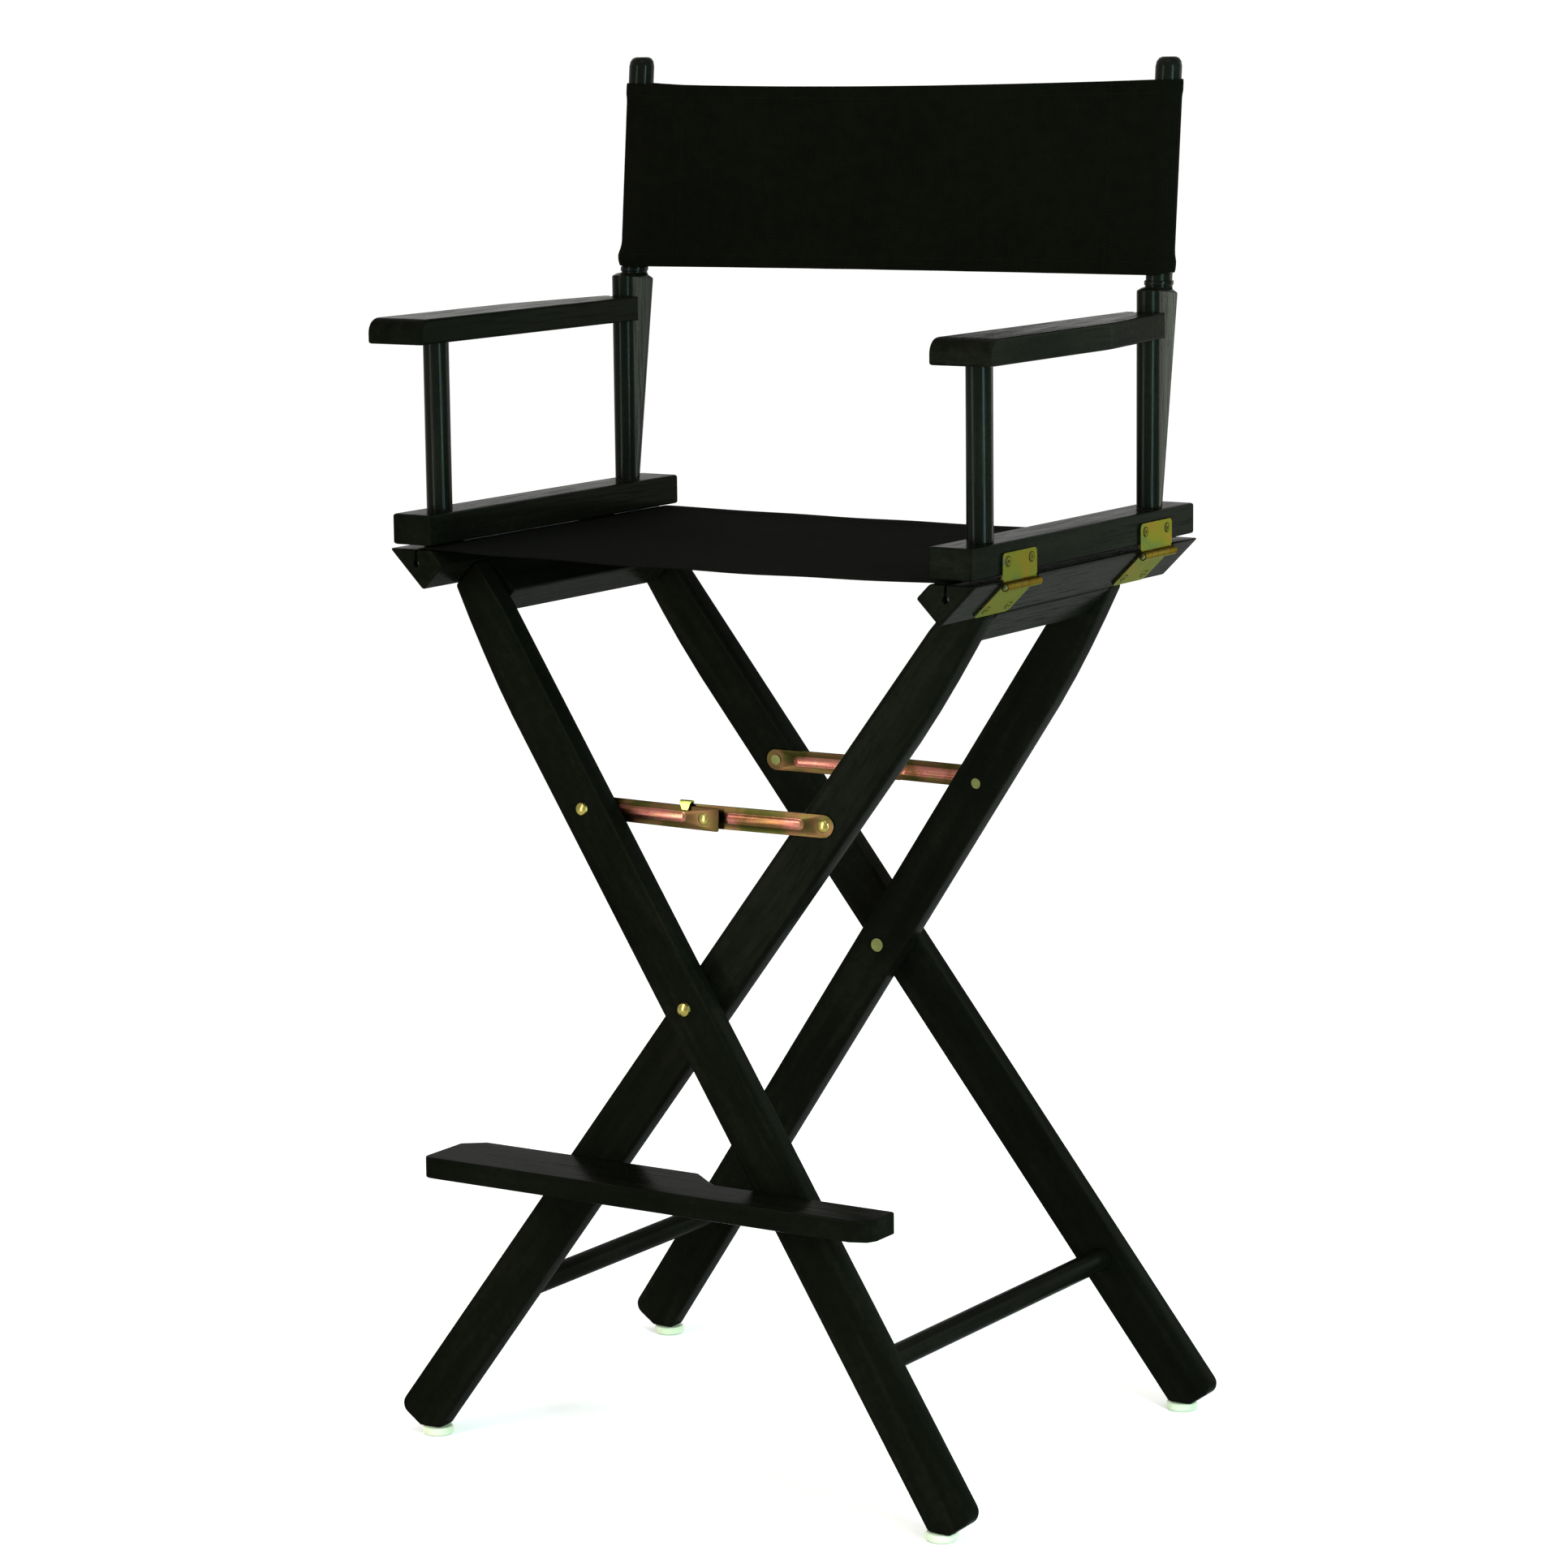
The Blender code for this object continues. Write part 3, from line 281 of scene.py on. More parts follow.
def canvas_material(name, axis_turn, lighter=1.0):
    """Black duck: a plain weave of crossing threads with slubs, matte and very dark."""
    made = Nodes(name)
    place = made.coordinates(axis_turn)
    heights = []
    for direction in ("X", "Y"):
        thread = made.node("ShaderNodeTexWave", wave_type="BANDS", bands_direction=direction)
        thread.inputs["Scale"].default_value = 260.0
        thread.inputs["Distortion"].default_value = 0.6
        thread.inputs["Detail"].default_value = 1.0
        thread.inputs["Detail Scale"].default_value = 0.4
        made.link(place, thread.inputs["Vector"])
        heights.append(thread.outputs["Fac"])
    weave = made.math("MULTIPLY", heights[0], heights[1])
    slub = made.noise(place, 90.0, 4.0, 0.6)
    patch = made.noise(place, 11.0, 3.0, 0.5)
    low = tuple(c * lighter for c in (0.0011, 0.0012, 0.0007))
    high = tuple(c * lighter for c in (0.0030, 0.0031, 0.0019))
    tone = made.math("ADD", made.math("MULTIPLY", weave, 0.45), made.math("MULTIPLY", slub, 0.35))
    tone = made.math("ADD", tone, made.math("MULTIPLY", patch, 0.20))
    colour = made.ramp(tone, ((0.22, low), (0.68, high)))
    normal = made.bump(weave, 0.55, 0.00035)
    normal = made.bump(slub, 0.25, 0.0005, normal)
    return made.finish(
        colour, 0.92, normal, Specular_IOR_Level=0.003, Sheen_Weight=0.003, Sheen_Roughness=0.5
    )


KNUCKLE_REACH = 0.0046
PLATE_TINT = (0.60, 0.64, 0.42, 1.0)


def plated_material(name, stops, roughness, scale=38.0, seed=0.0, knuckle_stops=None):
    """Passivated zinc plating, whose colour drifts over the sheet.

    knuckle_stops, if given, take over within KNUCKLE_REACH of the hinge axes.
    """
    made = Nodes(name)
    place = made.coordinates()
    moved = made.node("ShaderNodeVectorMath", operation="ADD")
    moved.inputs[1].default_value = (seed, seed * 0.7, seed * 1.3)
    made.link(place, moved.inputs[0])
    drift = made.noise(moved.outputs[0], scale, 2.5, 0.5, 0.8)
    speck = made.noise(moved.outputs[0], 900.0, 2.0, 0.6)
    mix = made.math("ADD", made.math("MULTIPLY", drift, 0.88), made.math("MULTIPLY", speck, 0.12))
    colour = made.ramp(mix, stops)
    if knuckle_stops:
        parts = made.node("ShaderNodeSeparateXYZ")
        made.link(place, parts.inputs[0])
        across = made.math("SUBTRACT", made.math("ABSOLUTE", parts.outputs["X"], 0.0), HINGE_X)
        above = made.math("SUBTRACT", parts.outputs["Z"], HINGE_Z)
        squares = [made.math("MULTIPLY", offset, offset) for offset in (across, above)]
        reach = made.math("ADD", *squares)
        blend = made.node("ShaderNodeMix", data_type="RGBA")
        made.link(made.math("LESS_THAN", reach, KNUCKLE_REACH ** 2), blend.inputs[0])
        made.link(colour, blend.inputs[6])
        made.link(made.ramp(mix, knuckle_stops), blend.inputs[7])
        colour = blend.outputs[2]
    rough = made.math("ADD", roughness, made.math("MULTIPLY", speck, 0.18))
    normal = made.bump(speck, 0.10, 0.0002)
    return made.finish(colour, rough, normal, Metallic=1.0, Specular_Tint=PLATE_TINT)


def nylon_material():
    made = Nodes("pale_nylon")
    place = made.coordinates()
    cloud = made.noise(place, 60.0, 3.0, 0.5)
    colour = made.ramp(cloud, ((0.3, (0.36, 0.42, 0.29)), (0.7, (0.47, 0.52, 0.38))))
    normal = made.bump(made.noise(place, 500.0, 2.0, 0.5), 0.08, 0.0003)
    return made.finish(
        colour, 0.38, normal, Subsurface_Weight=0.25, Subsurface_Scale=0.004, Specular_IOR_Level=0.4
    )


def steel_material():
    made = Nodes("black_steel")
    place = made.coordinates()
    worn = made.noise(place, 240.0, 3.0, 0.6)
    colour = made.ramp(worn, ((0.35, (0.010, 0.010, 0.009)), (0.75, (0.035, 0.034, 0.030))))
    return made.finish(colour, 0.42, made.bump(worn, 0.1, 0.0003), Metallic=0.8)


LEG_TURN = {"outer": (0.0, -LEG_ANGLE, 0.0), "inner": (0.0, LEG_ANGLE, 0.0)}
UPRIGHT, LENGTHWISE, CROSSWISE = (0, 0, 0), (math.pi / 2, 0, 0), (0, math.pi / 2, 0)


def wood_turns():
    """The direction of the grain in each wooden node."""
    turns = {}
    for end in ("front", "rear"):
        for frame_name, turn in LEG_TURN.items():
            turns[f"{end}_{frame_name}_leg"] = turn
    for side in ("left", "right"):
        for piece in ("leg_rail", "rail_batten", "stretcher", "arm_base", "arm"):
            turns[f"{side}_{piece}"] = LENGTHWISE
        turns[f"{side}_front_post"] = UPRIGHT
        turns[f"{side}_rear_post"] = UPRIGHT
    turns["footrest_board"] = CROSSWISE
    return turns


def give(obj, material):
    obj.data.materials.clear()
    obj.data.materials.append(material)


def smooth_by_angle(degrees):
    """A node group that only marks faces smooth, and edges that bend more than this sharp."""
    group = bpy.data.node_groups.new(f"smooth_under_{degrees}", "GeometryNodeTree")
    group.interface.new_socket("Geometry", in_out="INPUT", socket_type="NodeSocketGeometry")
    group.interface.new_socket("Geometry", in_out="OUTPUT", socket_type="NodeSocketGeometry")
    nodes, links = group.nodes, group.links
    start, end = nodes.new("NodeGroupInput"), nodes.new("NodeGroupOutput")
    faces, edges = nodes.new("GeometryNodeSetShadeSmooth"), nodes.new("GeometryNodeSetShadeSmooth")
    edges.domain = "EDGE"
    edges.inputs["Shade Smooth"].default_value = False
    angle = nodes.new("GeometryNodeInputMeshEdgeAngle")
    over = nodes.new("FunctionNodeCompare")
    over.operation = "GREATER_THAN"
    over.inputs["B"].default_value = math.radians(degrees)
    links.new(start.outputs[0], faces.inputs["Geometry"])
    links.new(faces.outputs[0], edges.inputs["Geometry"])
    links.new(angle.outputs["Unsigned Angle"], over.inputs["A"])
    links.new(over.outputs[0], edges.inputs["Selection"])
    links.new(edges.outputs[0], end.inputs[0])
    return group


def smooth_cad_node(obj, group):
    """Joins the node's split corners and shades its curves smooth, without moving anything."""
    mesh = obj.data
    if "custom_normal" in mesh.attributes:
        mesh.attributes.remove(mesh.attributes["custom_normal"])
    weld = obj.modifiers.new("Weld", "WELD")
    weld.merge_threshold = 0.00001
    smooth = obj.modifiers.new("Smooth", "NODES")
    smooth.node_group = group
    flat = obj.modifiers.new("Flat", "WEIGHTED_NORMAL")
    flat.keep_sharp = True


def finish_cad_nodes():
    """Gives every CAD node its shading and its material. Sheets later replace the two canvases."""
    wood = wood_turns()
    for number, (name, turn) in enumerate(sorted(wood.items())):
        give(NODES[name], wood_material("lacquer_" + name, turn, number, name.endswith("_post")))
    for name, obj in sorted(NODES.items()):
        smooth_cad_node(obj, FINE_SMOOTH if name.endswith("_arm") else SMOOTH)
        if name in wood:
            continue
        if name.endswith("_glide"):
            give(obj, NYLON)
        elif name in ("footrest_bolt", "footrest_stud") or name.endswith("seat_rod"):
            give(obj, STEEL)
        elif name.endswith("hinge_pin"):
            give(obj, DULL_RIVET)
        elif "hinge" in name:
            give(obj, HINGE_STEEL)
        elif "spacer" in name or name.startswith("rear") and ("rivet" in name or "bolt" in name):
            give(obj, DULL_RIVET)
        elif "rivet" in name or "bolt" in name:
            give(obj, BRIGHT_RIVET)
        elif "stay" in name:
            give(obj, STAY_STEEL)
        else:
            give(obj, CANVAS)


# ---------------------------------------------------------------- mesh helpers


def new_object(name, bm, material, body, smooth_angle):
    """Makes a piece that rides on a body. Edges that bend more than smooth_angle degrees stay sharp."""
    bmesh.ops.recalc_face_normals(bm, faces=bm.faces)
    mesh = bpy.data.meshes.new(name)
    bm.to_mesh(mesh)
    bm.free()
    mesh.materials.append(material)
    mesh.shade_smooth()
    mesh.set_sharp_from_angle(angle=math.radians(smooth_angle))
    obj = bpy.data.objects.new(name, mesh)
    SCENE.collection.objects.link(obj)
    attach(obj, body)
    return obj


def bridge(bm, first, second, close=True):
    """Faces between two rows of vertices of the same count."""
    for i in range(len(first) if close else len(first) - 1):
        j = (i + 1) % len(first)
        bm.faces.new((first[i], first[j], second[j], second[i]))


def rim(layer):
    """Once round the border of a grid of vertices."""
    ends, starts = [row[-1] for row in layer[1:-1]], [row[0] for row in layer[-2:0:-1]]
    return layer[0] + ends + layer[-1][::-1] + starts


def shell(bm, rows, depth):
    """A closed shell from rows of (point, outward normal), depth thick towards the inside."""
    outer = [[bm.verts.new(point) for point, _ in row] for row in rows]
    inner = [[bm.verts.new(point - normal * depth) for point, normal in row] for row in rows]
    for layer in (outer, inner):
        for lower, upper in zip(layer, layer[1:]):
            bridge(bm, lower, upper, close=False)
    bridge(bm, rim(outer), rim(inner))


def turned(bm, matrix, profile, steps):
    """A closed turned solid from (radius, height) points, the first and the last on the axis."""
    rings = []
    for radius, height in profile:
        if radius == 0:
            rings.append([bm.verts.new(matrix @ Vector((0, 0, height)))])
            continue
        ring = []
        for i in range(steps):
            angle = 2 * math.pi * i / steps
            point = Vector((radius * math.cos(angle), radius * math.sin(angle), height))
            ring.append(bm.verts.new(matrix @ point))
        rings.append(ring)
    for lower, upper in zip(rings, rings[1:]):
        if len(lower) == 1 or len(upper) == 1:
            tip, ring = (lower[0], upper) if len(lower) == 1 else (upper[0], lower)
            for i in range(steps):
                bm.faces.new((tip, ring[i], ring[(i + 1) % steps]))
        else:
            bridge(bm, lower, upper)


def path_normals(path):
    """Unit normals to the left of a path of 2D points."""
    normals = []
    for i in range(len(path)):
        a, b = path[max(i - 1, 0)], path[min(i + 1, len(path) - 1)]
        run = Vector((b[0] - a[0], b[1] - a[1])).normalized()
        normals.append(Vector((-run.y, run.x)))
    return normals


def path_lengths(path):
    """How far along the path each of its points is."""
    lengths = [0.0]
    for a, b in zip(path, path[1:]):
        lengths.append(lengths[-1] + math.hypot(b[0] - a[0], b[1] - a[1]))
    return lengths


def resample(path, step):
    """Evenly spaced points along a path, about step apart."""
    lengths = path_lengths(path)
    count = max(2, round(lengths[-1] / step))
    points, i = [], 0
    for k in range(count + 1):
        target = lengths[-1] * k / count
        while i < len(lengths) - 2 and lengths[i + 1] < target:
            i += 1
        share = (target - lengths[i]) / max(lengths[i + 1] - lengths[i], 1e-9)
        a, b = path[i], path[i + 1]
        points.append((a[0] + (b[0] - a[0]) * share, a[1] + (b[1] - a[1]) * share))
    return points


def arc(centre, radius, start, end, count):
    """Points of an arc from start to end in degrees, in count steps."""
    points = []
    for i in range(count + 1):
        angle = math.radians(start + (end - start) * i / count)
        points.append((centre[0] + radius * math.cos(angle), centre[1] + radius * math.sin(angle)))
    return points


def bump_at(value, middle, width):
    """1 at the middle, falling smoothly to 0 at width either side."""
    share = min(abs(value - middle) / width, 1.0)
    return 0.5 + 0.5 * math.cos(math.pi * share)


def hem_at(share, middles, width):
    """1 on a hem, falling smoothly to 0 beside it."""
    return min(1.0, 1.6 * max(bump_at(share, middle, width) for middle in middles))


THREAD_R = 0.0005
TIP_SIZE, TIP_DEPTH = 0.45, 0.6  # the two ends of a stitch, as shares of the thread's radius
STITCH_SHARE = 0.62  # of the spacing along a row


def stitch(bm, start, end, normal):
    """One thread stitch: a low six-sided bead between two points, its ends sunk into the cloth."""
    run = end - start
    across = run.cross(normal).normalized() * THREAD_R
    rise = normal.normalized() * THREAD_R
    middle, sunk = (start + end) / 2, rise * TIP_DEPTH
    rows = []
    for centre, size in ((start - sunk, TIP_SIZE), (middle, 1.0), (end - sunk, TIP_SIZE)):
        ring = []
        for i in range(6):
            angle = math.pi * i / 3
            offset = across * math.cos(angle) + rise * math.sin(angle)
            ring.append(bm.verts.new(centre + offset * size))
        rows.append(ring)
    bridge(bm, rows[0], rows[1])
    bridge(bm, rows[1], rows[2])
    bm.faces.new(rows[0][::-1])
    bm.faces.new(rows[2])


def stitch_row(bm, point_at, count):
    """Stitches along a line. point_at(share) gives a point and the cloth's normal there."""
    for i in range(count):
        start, normal = point_at((i + 0.5 - STITCH_SHARE / 2) / count)
        end, _ = point_at((i + 0.5 + STITCH_SHARE / 2) / count)
        stitch(bm, start, end, normal)


# ---------------------------------------------------------------- back canvas

CLOTH = 0.0009
FACING = Vector((0.0, 1.0))  # the path's normal on the front of the back canvas and the top of the seat
NECK_Y, NECK_Z = 0.1615, 0.9685  # a point of the dowels' leaning line
SLEEVE_R = DOWEL_R + 0.0012
FLAP_WIDTH = 0.050
FLAP_BEHIND = 0.0016
FLAP_X = POST_X - FLAP_WIDTH
BACK_MARGIN = 0.0005
BACK_LOW, BACK_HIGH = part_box("back_canvas")
BACK_HEIGHT = BACK_HIGH.z - BACK_LOW.z - 2 * BACK_MARGIN

# Shares of the height
BACK_HEM_WIDTH = 0.062
BACK_HEMS = (0.035, 0.965)
BACK_HEM_STITCHES = (0.066, 0.934)
BACK_FLARE_AT, BACK_FLARE_WIDTH = 0.05, 0.085

# How far the back canvas strays from a flat sling, in metres
BACK_LIFT = 0.0002
BACK_CLIMB = 0.0020  # both edges rise towards the right
BACK_TOP_SAG, BACK_BOTTOM_RISE = 0.0038, 0.0006
CORNER_LEFT, CORNER_RIGHT = 0.12, 0.30  # rise of a lower corner per metre beyond its dowel
FLARE_LEFT, FLARE_RIGHT = 0.0024, 0.0008  # the sleeves stand off at the bottom
BACK_HEM_RAISE = 0.0007
SEAM_RAISE = 0.0005
WRINKLE = 0.0007
BELLY = 0.0010
GATHER = 0.00035
BACK_HOLLOW = 0.0024  # the middle lies behind the line between the dowels


def back_path():
    """Plan of the sling about the dowels' line, from one flap round both dowels to the other."""
    flap_y = FLAP_BEHIND - SLEEVE_R
    towards = math.degrees(math.atan2(flap_y, FLAP_X - POST_X)) % 360
    leave = towards - math.degrees(math.acos(SLEEVE_R / math.hypot(FLAP_X - POST_X, flap_y)))
    right = arc((POST_X, 0.0), SLEEVE_R, -90, leave, 18) + [(FLAP_X, flap_y)]
    return [(-x, y) for x, y in reversed(right)] + right


def back_point(x, y, normal, share):
    """A point of the sling's outer face, share of the way up, with its outward normal."""
    middle = max(0.0, 1.0 - (x / POST_X) ** 2)
    z = BACK_LOW.z + BACK_MARGIN + BACK_HEIGHT * share + (BACK_LIFT + BACK_CLIMB * x / POST_X)
    sag = BACK_TOP_SAG * share - BACK_BOTTOM_RISE * (1 - share)
    z -= sag * middle * (1 - 0.25 * x / POST_X)
    beyond = max(0.0, abs(x) - POST_X - 0.004)
    z += (CORNER_RIGHT if x > 0 else CORNER_LEFT) * beyond * (1 - share) ** 6
    out = BACK_HEM_RAISE * hem_at(share, BACK_HEMS, BACK_HEM_WIDTH)
    on_front = y < -0.008
    if on_front:
        seam = bump_at(abs(x), FLAP_X + 0.001, 0.0035)
        pull = math.sin(x * 88 + 2.6 * math.sin(share * 4)) * (0.25 + 0.75 * abs(2 * share - 1) ** 2)
        belly = math.sin(share * math.pi)
        out += SEAM_RAISE * seam + WRINKLE * pull * middle + BELLY * belly * middle
        out += GATHER * math.sin(share * 61 + x * 9) * bump_at(abs(x), FLAP_X - 0.006, 0.030)
        y += BACK_HOLLOW * middle
    outside = max(0.0, abs(x) - POST_X) / SLEEVE_R
    flare = FLARE_LEFT if x < 0 else FLARE_RIGHT
    out += flare * outside * bump_at(share, BACK_FLARE_AT, BACK_FLARE_WIDTH)
    flat = Vector((-normal.x, -normal.y, 0.0))
    point = Vector((x, y, 0.0)) + flat * out
    point.y += NECK_Y + BACK_LEAN * (z - NECK_Z)
    point.z = z
    return point, flat


def build_back():
    path = resample(back_path(), 0.0042)
    normals = path_normals(path)
    count = 52
    rows = []
    for j in range(count + 1):
        rows.append([back_point(x, y, normal, j / count) for (x, y), normal in zip(path, normals)])
    bm = bmesh.new()
    shell(bm, rows, CLOTH)
    sheet = new_object("back_sling", bm, CANVAS, "left_arm_frame", 60)
    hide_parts("back_canvas")

    bm = bmesh.new()
    outer_seam, inner_seam, row = FLAP_X + 0.004, FLAP_X - 0.0025, 0.52
    for x in (-outer_seam, -inner_seam, inner_seam, outer_seam):
        stitch_row(bm, lambda share: back_point(x, -SLEEVE_R, FACING, 0.01 + 0.98 * share), 50)
    for up in BACK_HEM_STITCHES:
        stitch_row(bm, lambda share: back_point((share - 0.5) * row, -SLEEVE_R, FACING, up), 160)
    thread = new_object("back_stitching", bm, THREAD, "left_arm_frame", 60)

    for piece in (sheet, thread):
        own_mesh(piece)


# ---------------------------------------------------------------- seat canvas

RAIL_INNER_X = 0.2391
SEAT_LEVEL = 0.7613
SEAT_MARGIN = 0.001
SEAT_LOW, SEAT_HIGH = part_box("seat_canvas")
SEAT_DEPTH = SEAT_HIGH.y - SEAT_LOW.y - 2 * SEAT_MARGIN

# Shares of the depth
SEAT_HEM_WIDTH = 0.052
SEAT_HEMS = (0.030, 0.970)
SEAT_HEM_STITCHES = (0.054, 0.946)

# How far the seat canvas strays from a flat sling, in metres
SEAT_DRAW = 0.0022  # its front and rear edges draw in at the middle
SEAT_SAG, SEAT_SAG_MIDDLE, SEAT_SAG_REAR = 0.0034, 0.0018, -0.0022
SEAT_WAVE = 0.0006
SEAT_HEM_RAISE = 0.0006


def seat_section():
    """Section of the seat, from the loop round the left rod across to the loop round the right one."""
    loop, neck = 0.0022, 0.0004  # radius of a loop, and half the gap where the cloth leaves it
    leave = math.degrees(math.asin(neck / loop))
    # Over the rail, down through the keyhole's slot, round the rod and up again.
    right = [(0.2465, SEAT_LEVEL), (ROD_X - 0.0030, SEAT_LEVEL - 0.0001), (ROD_X - 0.0016, 0.7605)]
    right += [(ROD_X - 0.0009, 0.7595), (ROD_X - neck, ROD_Z + 0.0080)]
    right += arc((ROD_X, ROD_Z), loop, 90 + leave, 450 - leave, 16)
    right.append((ROD_X + neck, ROD_Z + 0.0090))
    left = [(-x, z) for x, z in reversed(right)]
    return left + resample([left[-1], right[0]], 0.0062)[1:-1] + right


def seat_point(x, z, normal, share):
    """A point of the seat's upper face, share of the way back, with its outward normal."""
    flat = Vector((normal.x, 0.0, normal.y))
    y = SEAT_LOW.y + SEAT_MARGIN + SEAT_DEPTH * share
    point = Vector((x, y, z))
    on_top = abs(x) < RAIL_INNER_X + 0.008
    if on_top:
        middle = max(0.0, 1.0 - (x / RAIL_INNER_X) ** 2) ** 0.8
        edge = bump_at(share, 0.0, 0.12) - bump_at(share, 1.0, 0.12)
        point.y += SEAT_DRAW * middle * edge
        sag = SEAT_SAG + SEAT_SAG_MIDDLE * math.sin(math.pi * share) + SEAT_SAG_REAR * share
        wave = math.sin(x * 52 + 1.2) * math.sin(share * 6.1 + 0.6)
        point.z += (-sag + SEAT_WAVE * wave) * middle
        hem = hem_at(share, SEAT_HEMS, SEAT_HEM_WIDTH)
        fade = bump_at(abs(x), 0.0, 0.25) ** 0.2
        point += flat * SEAT_HEM_RAISE * hem * fade
    return point, flat


def build_seat():
    section = seat_section()
    normals = path_normals(section)
    count = 60
    rows = []
    for j in range(count + 1):
        rows.append([seat_point(x, z, normal, j / count) for (x, z), normal in zip(section, normals)])
    bm = bmesh.new()
    shell(bm, rows, CLOTH)
    sheet = new_object("seat_sling", bm, SEAT_CANVAS, "seat", 60)
    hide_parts("seat_canvas")

    bm = bmesh.new()
    row = 0.470
    for back in SEAT_HEM_STITCHES:
        stitch_row(bm, lambda share: seat_point((share - 0.5) * row, SEAT_LEVEL, FACING, back), 140)
    thread = new_object("seat_stitching", bm, THREAD, "seat", 60)

    for piece in (sheet, thread):
        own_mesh(piece)


# ---------------------------------------------------------------- fittings

CROSS_Z = 0.3965  # height of the bolt where two legs cross
MID_Y = 0.0088  # middle plane between the front and the rear cross
LEG_Y = {True: 0.1647, False: 0.1385}  # outer and inner legs from that plane, at the bolt
STAY_S = 0.188  # rivet above the bolt
STAY_HALF = 0.0095
STAY_THICK = 0.0015
STAY_TAIL = {True: 0.015, False: 0.0205}  # outer and inner stays past the middle rivet
STAY_LENGTH = STAY_S * math.sin(LEG_ANGLE) * math.hypot(1, LEG_LEAN * math.sin(LEG_ANGLE))
STAY_OFFSET = 0.01095  # a stay's middle plane from its leg's
STAY_CORNER = 0.0015
STAY_BEVEL = 0.0003
RIB_MARGIN = 0.022  # a rib starts and ends this far from the rivets
RIB_HALF = 0.0044
RIB_STEPS = ((0.0012, 0.0009), (0.0026, 0.0014))  # (in from the rib's edge, raised above the face)
TAB_PAST = 0.0170  # middle of the stop tab past the middle rivet
TAB_REACH = 0.0060
TAB_THICK = 0.0012


def leg_frame(front, outer, along):
    """World matrix on a leg's middle plane, along it from the bolt. X runs along an open stay."""
    side = 1 if outer else -1
    x = -side * along * math.sin(LEG_ANGLE)
    y = MID_Y + front * (LEG_Y[outer] - LEG_LEAN * along)
    z = CROSS_Z + along * math.cos(LEG_ANGLE)
    up = Vector((-side * math.sin(LEG_ANGLE), 0, math.cos(LEG_ANGLE)))
    normal = (Vector((0, 1, 0)) + front * up * LEG_LEAN).normalized()
    x_axis = -side * Vector((0, 0, 1)).cross(normal).normalized()
    turn = Matrix((x_axis, normal, x_axis.cross(normal))).transposed().to_4x4()
    return Matrix.Translation((x, y, z)) @ turn


def inset(loop, distance):
    """A closed loop of 2D points, running anticlockwise, moved inwards."""
    moved = []
    for i in range(len(loop)):
        a, b = Vector(loop[i - 1]), Vector(loop[(i + 1) % len(loop)])
        run = (b - a).normalized()
        moved.append((loop[i][0] - run.y * distance, loop[i][1] + run.x * distance))
    return moved


def capsule(low, high, radius):
    """An anticlockwise loop round a slot between low and high on the x axis."""
    return arc((high, 0), radius, -90, 90, 8) + arc((low, 0), radius, 90, 270, 8)


def stay_outline(end):
    """Anticlockwise, from the round end at the leg rivet to the square end with blunted corners."""
    corner, cut = STAY_CORNER, 0.3 * STAY_CORNER
    lower = [(end - corner, -STAY_HALF), (end - cut, cut - STAY_HALF), (end, corner - STAY_HALF)]
    upper = [(end, STAY_HALF - corner), (end - cut, STAY_HALF - cut), (end - corner, STAY_HALF)]
    return arc((0, 0), STAY_HALF, 90, 270, 14) + lower + upper


def stay_face(bm, outline, rib, front, seen):
    """One face of a stay with its pressed rib, which stands out where it is seen and is sunk behind."""
    level = front * (STAY_THICK / 2 if seen else -STAY_THICK / 2)
    heights = [level] + [level + front * rise for _, rise in RIB_STEPS]
    border = [bm.verts.new((x, level, z)) for x, z in outline]
    loops = [[bm.verts.new((x, y, z)) for x, z in loop] for loop, y in zip(rib, heights)]
    edges = []
    for loop in (border, loops[0]):
        edges += [bm.edges.new((loop[i - 1], loop[i])) for i in range(len(loop))]
    bmesh.ops.triangle_fill(bm, edges=edges, use_beauty=True)
    bridge(bm, loops[0], loops[1])
    bridge(bm, loops[1], loops[2])
    bm.faces.new(loops[2])
    return border


def build_stay(front, outer):
    """A pressed strip with a raised rib. Each inner one carries the tab that stops the pair."""
    name = f"{'front' if front < 0 else 'rear'}_{'outer' if outer else 'inner'}_stay"
    outline = stay_outline(STAY_LENGTH + STAY_TAIL[outer])
    edge = inset(outline, STAY_BEVEL)
    low, high = RIB_MARGIN, STAY_LENGTH - RIB_MARGIN
    rib = [capsule(low, high, RIB_HALF)] + [capsule(low, high, RIB_HALF - step) for step, _ in RIB_STEPS]
    bm = bmesh.new()
    raised = stay_face(bm, edge, rib, front, True)
    sunk = stay_face(bm, edge, rib, front, False)
    for face in bm.faces:
        middle = face.calc_center_median()
        on_rib = abs(middle.z) < RIB_HALF and low - RIB_HALF < middle.x < high + RIB_HALF
        # The rib's faces take the second material: the plating's copper tint, made lighter as a painted
        # highlight.
        if on_rib and len(face.verts) > 3:
            face.material_index = 1
    side_y = STAY_THICK / 2 - STAY_BEVEL
    sides = [[bm.verts.new((x, front * y, z)) for x, z in outline] for y in (side_y, -side_y)]
    for first, second in ((raised, sides[0]), (sides[0], sides[1]), (sides[1], sunk)):
        bridge(bm, first, second)
    pivot = leg_frame(front, outer, STAY_S)
    up = 1 if pivot.col[2].z > 0 else -1
    bmesh.ops.translate(bm, verts=bm.verts, vec=(0, (-front if outer else front) * STAY_OFFSET, 0))
    bmesh.ops.transform(bm, matrix=pivot, verts=bm.verts)
    stay = new_object(name + "_pressed", bm, STAY_STEEL, name, 40)
    # Slot 1 is the painted highlight on the rib.
    stay.data.materials.append(RIB_HIGHLIGHT_STEEL)
    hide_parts(name)
    if not outer:
        build_stop(name, front, pivot, up)


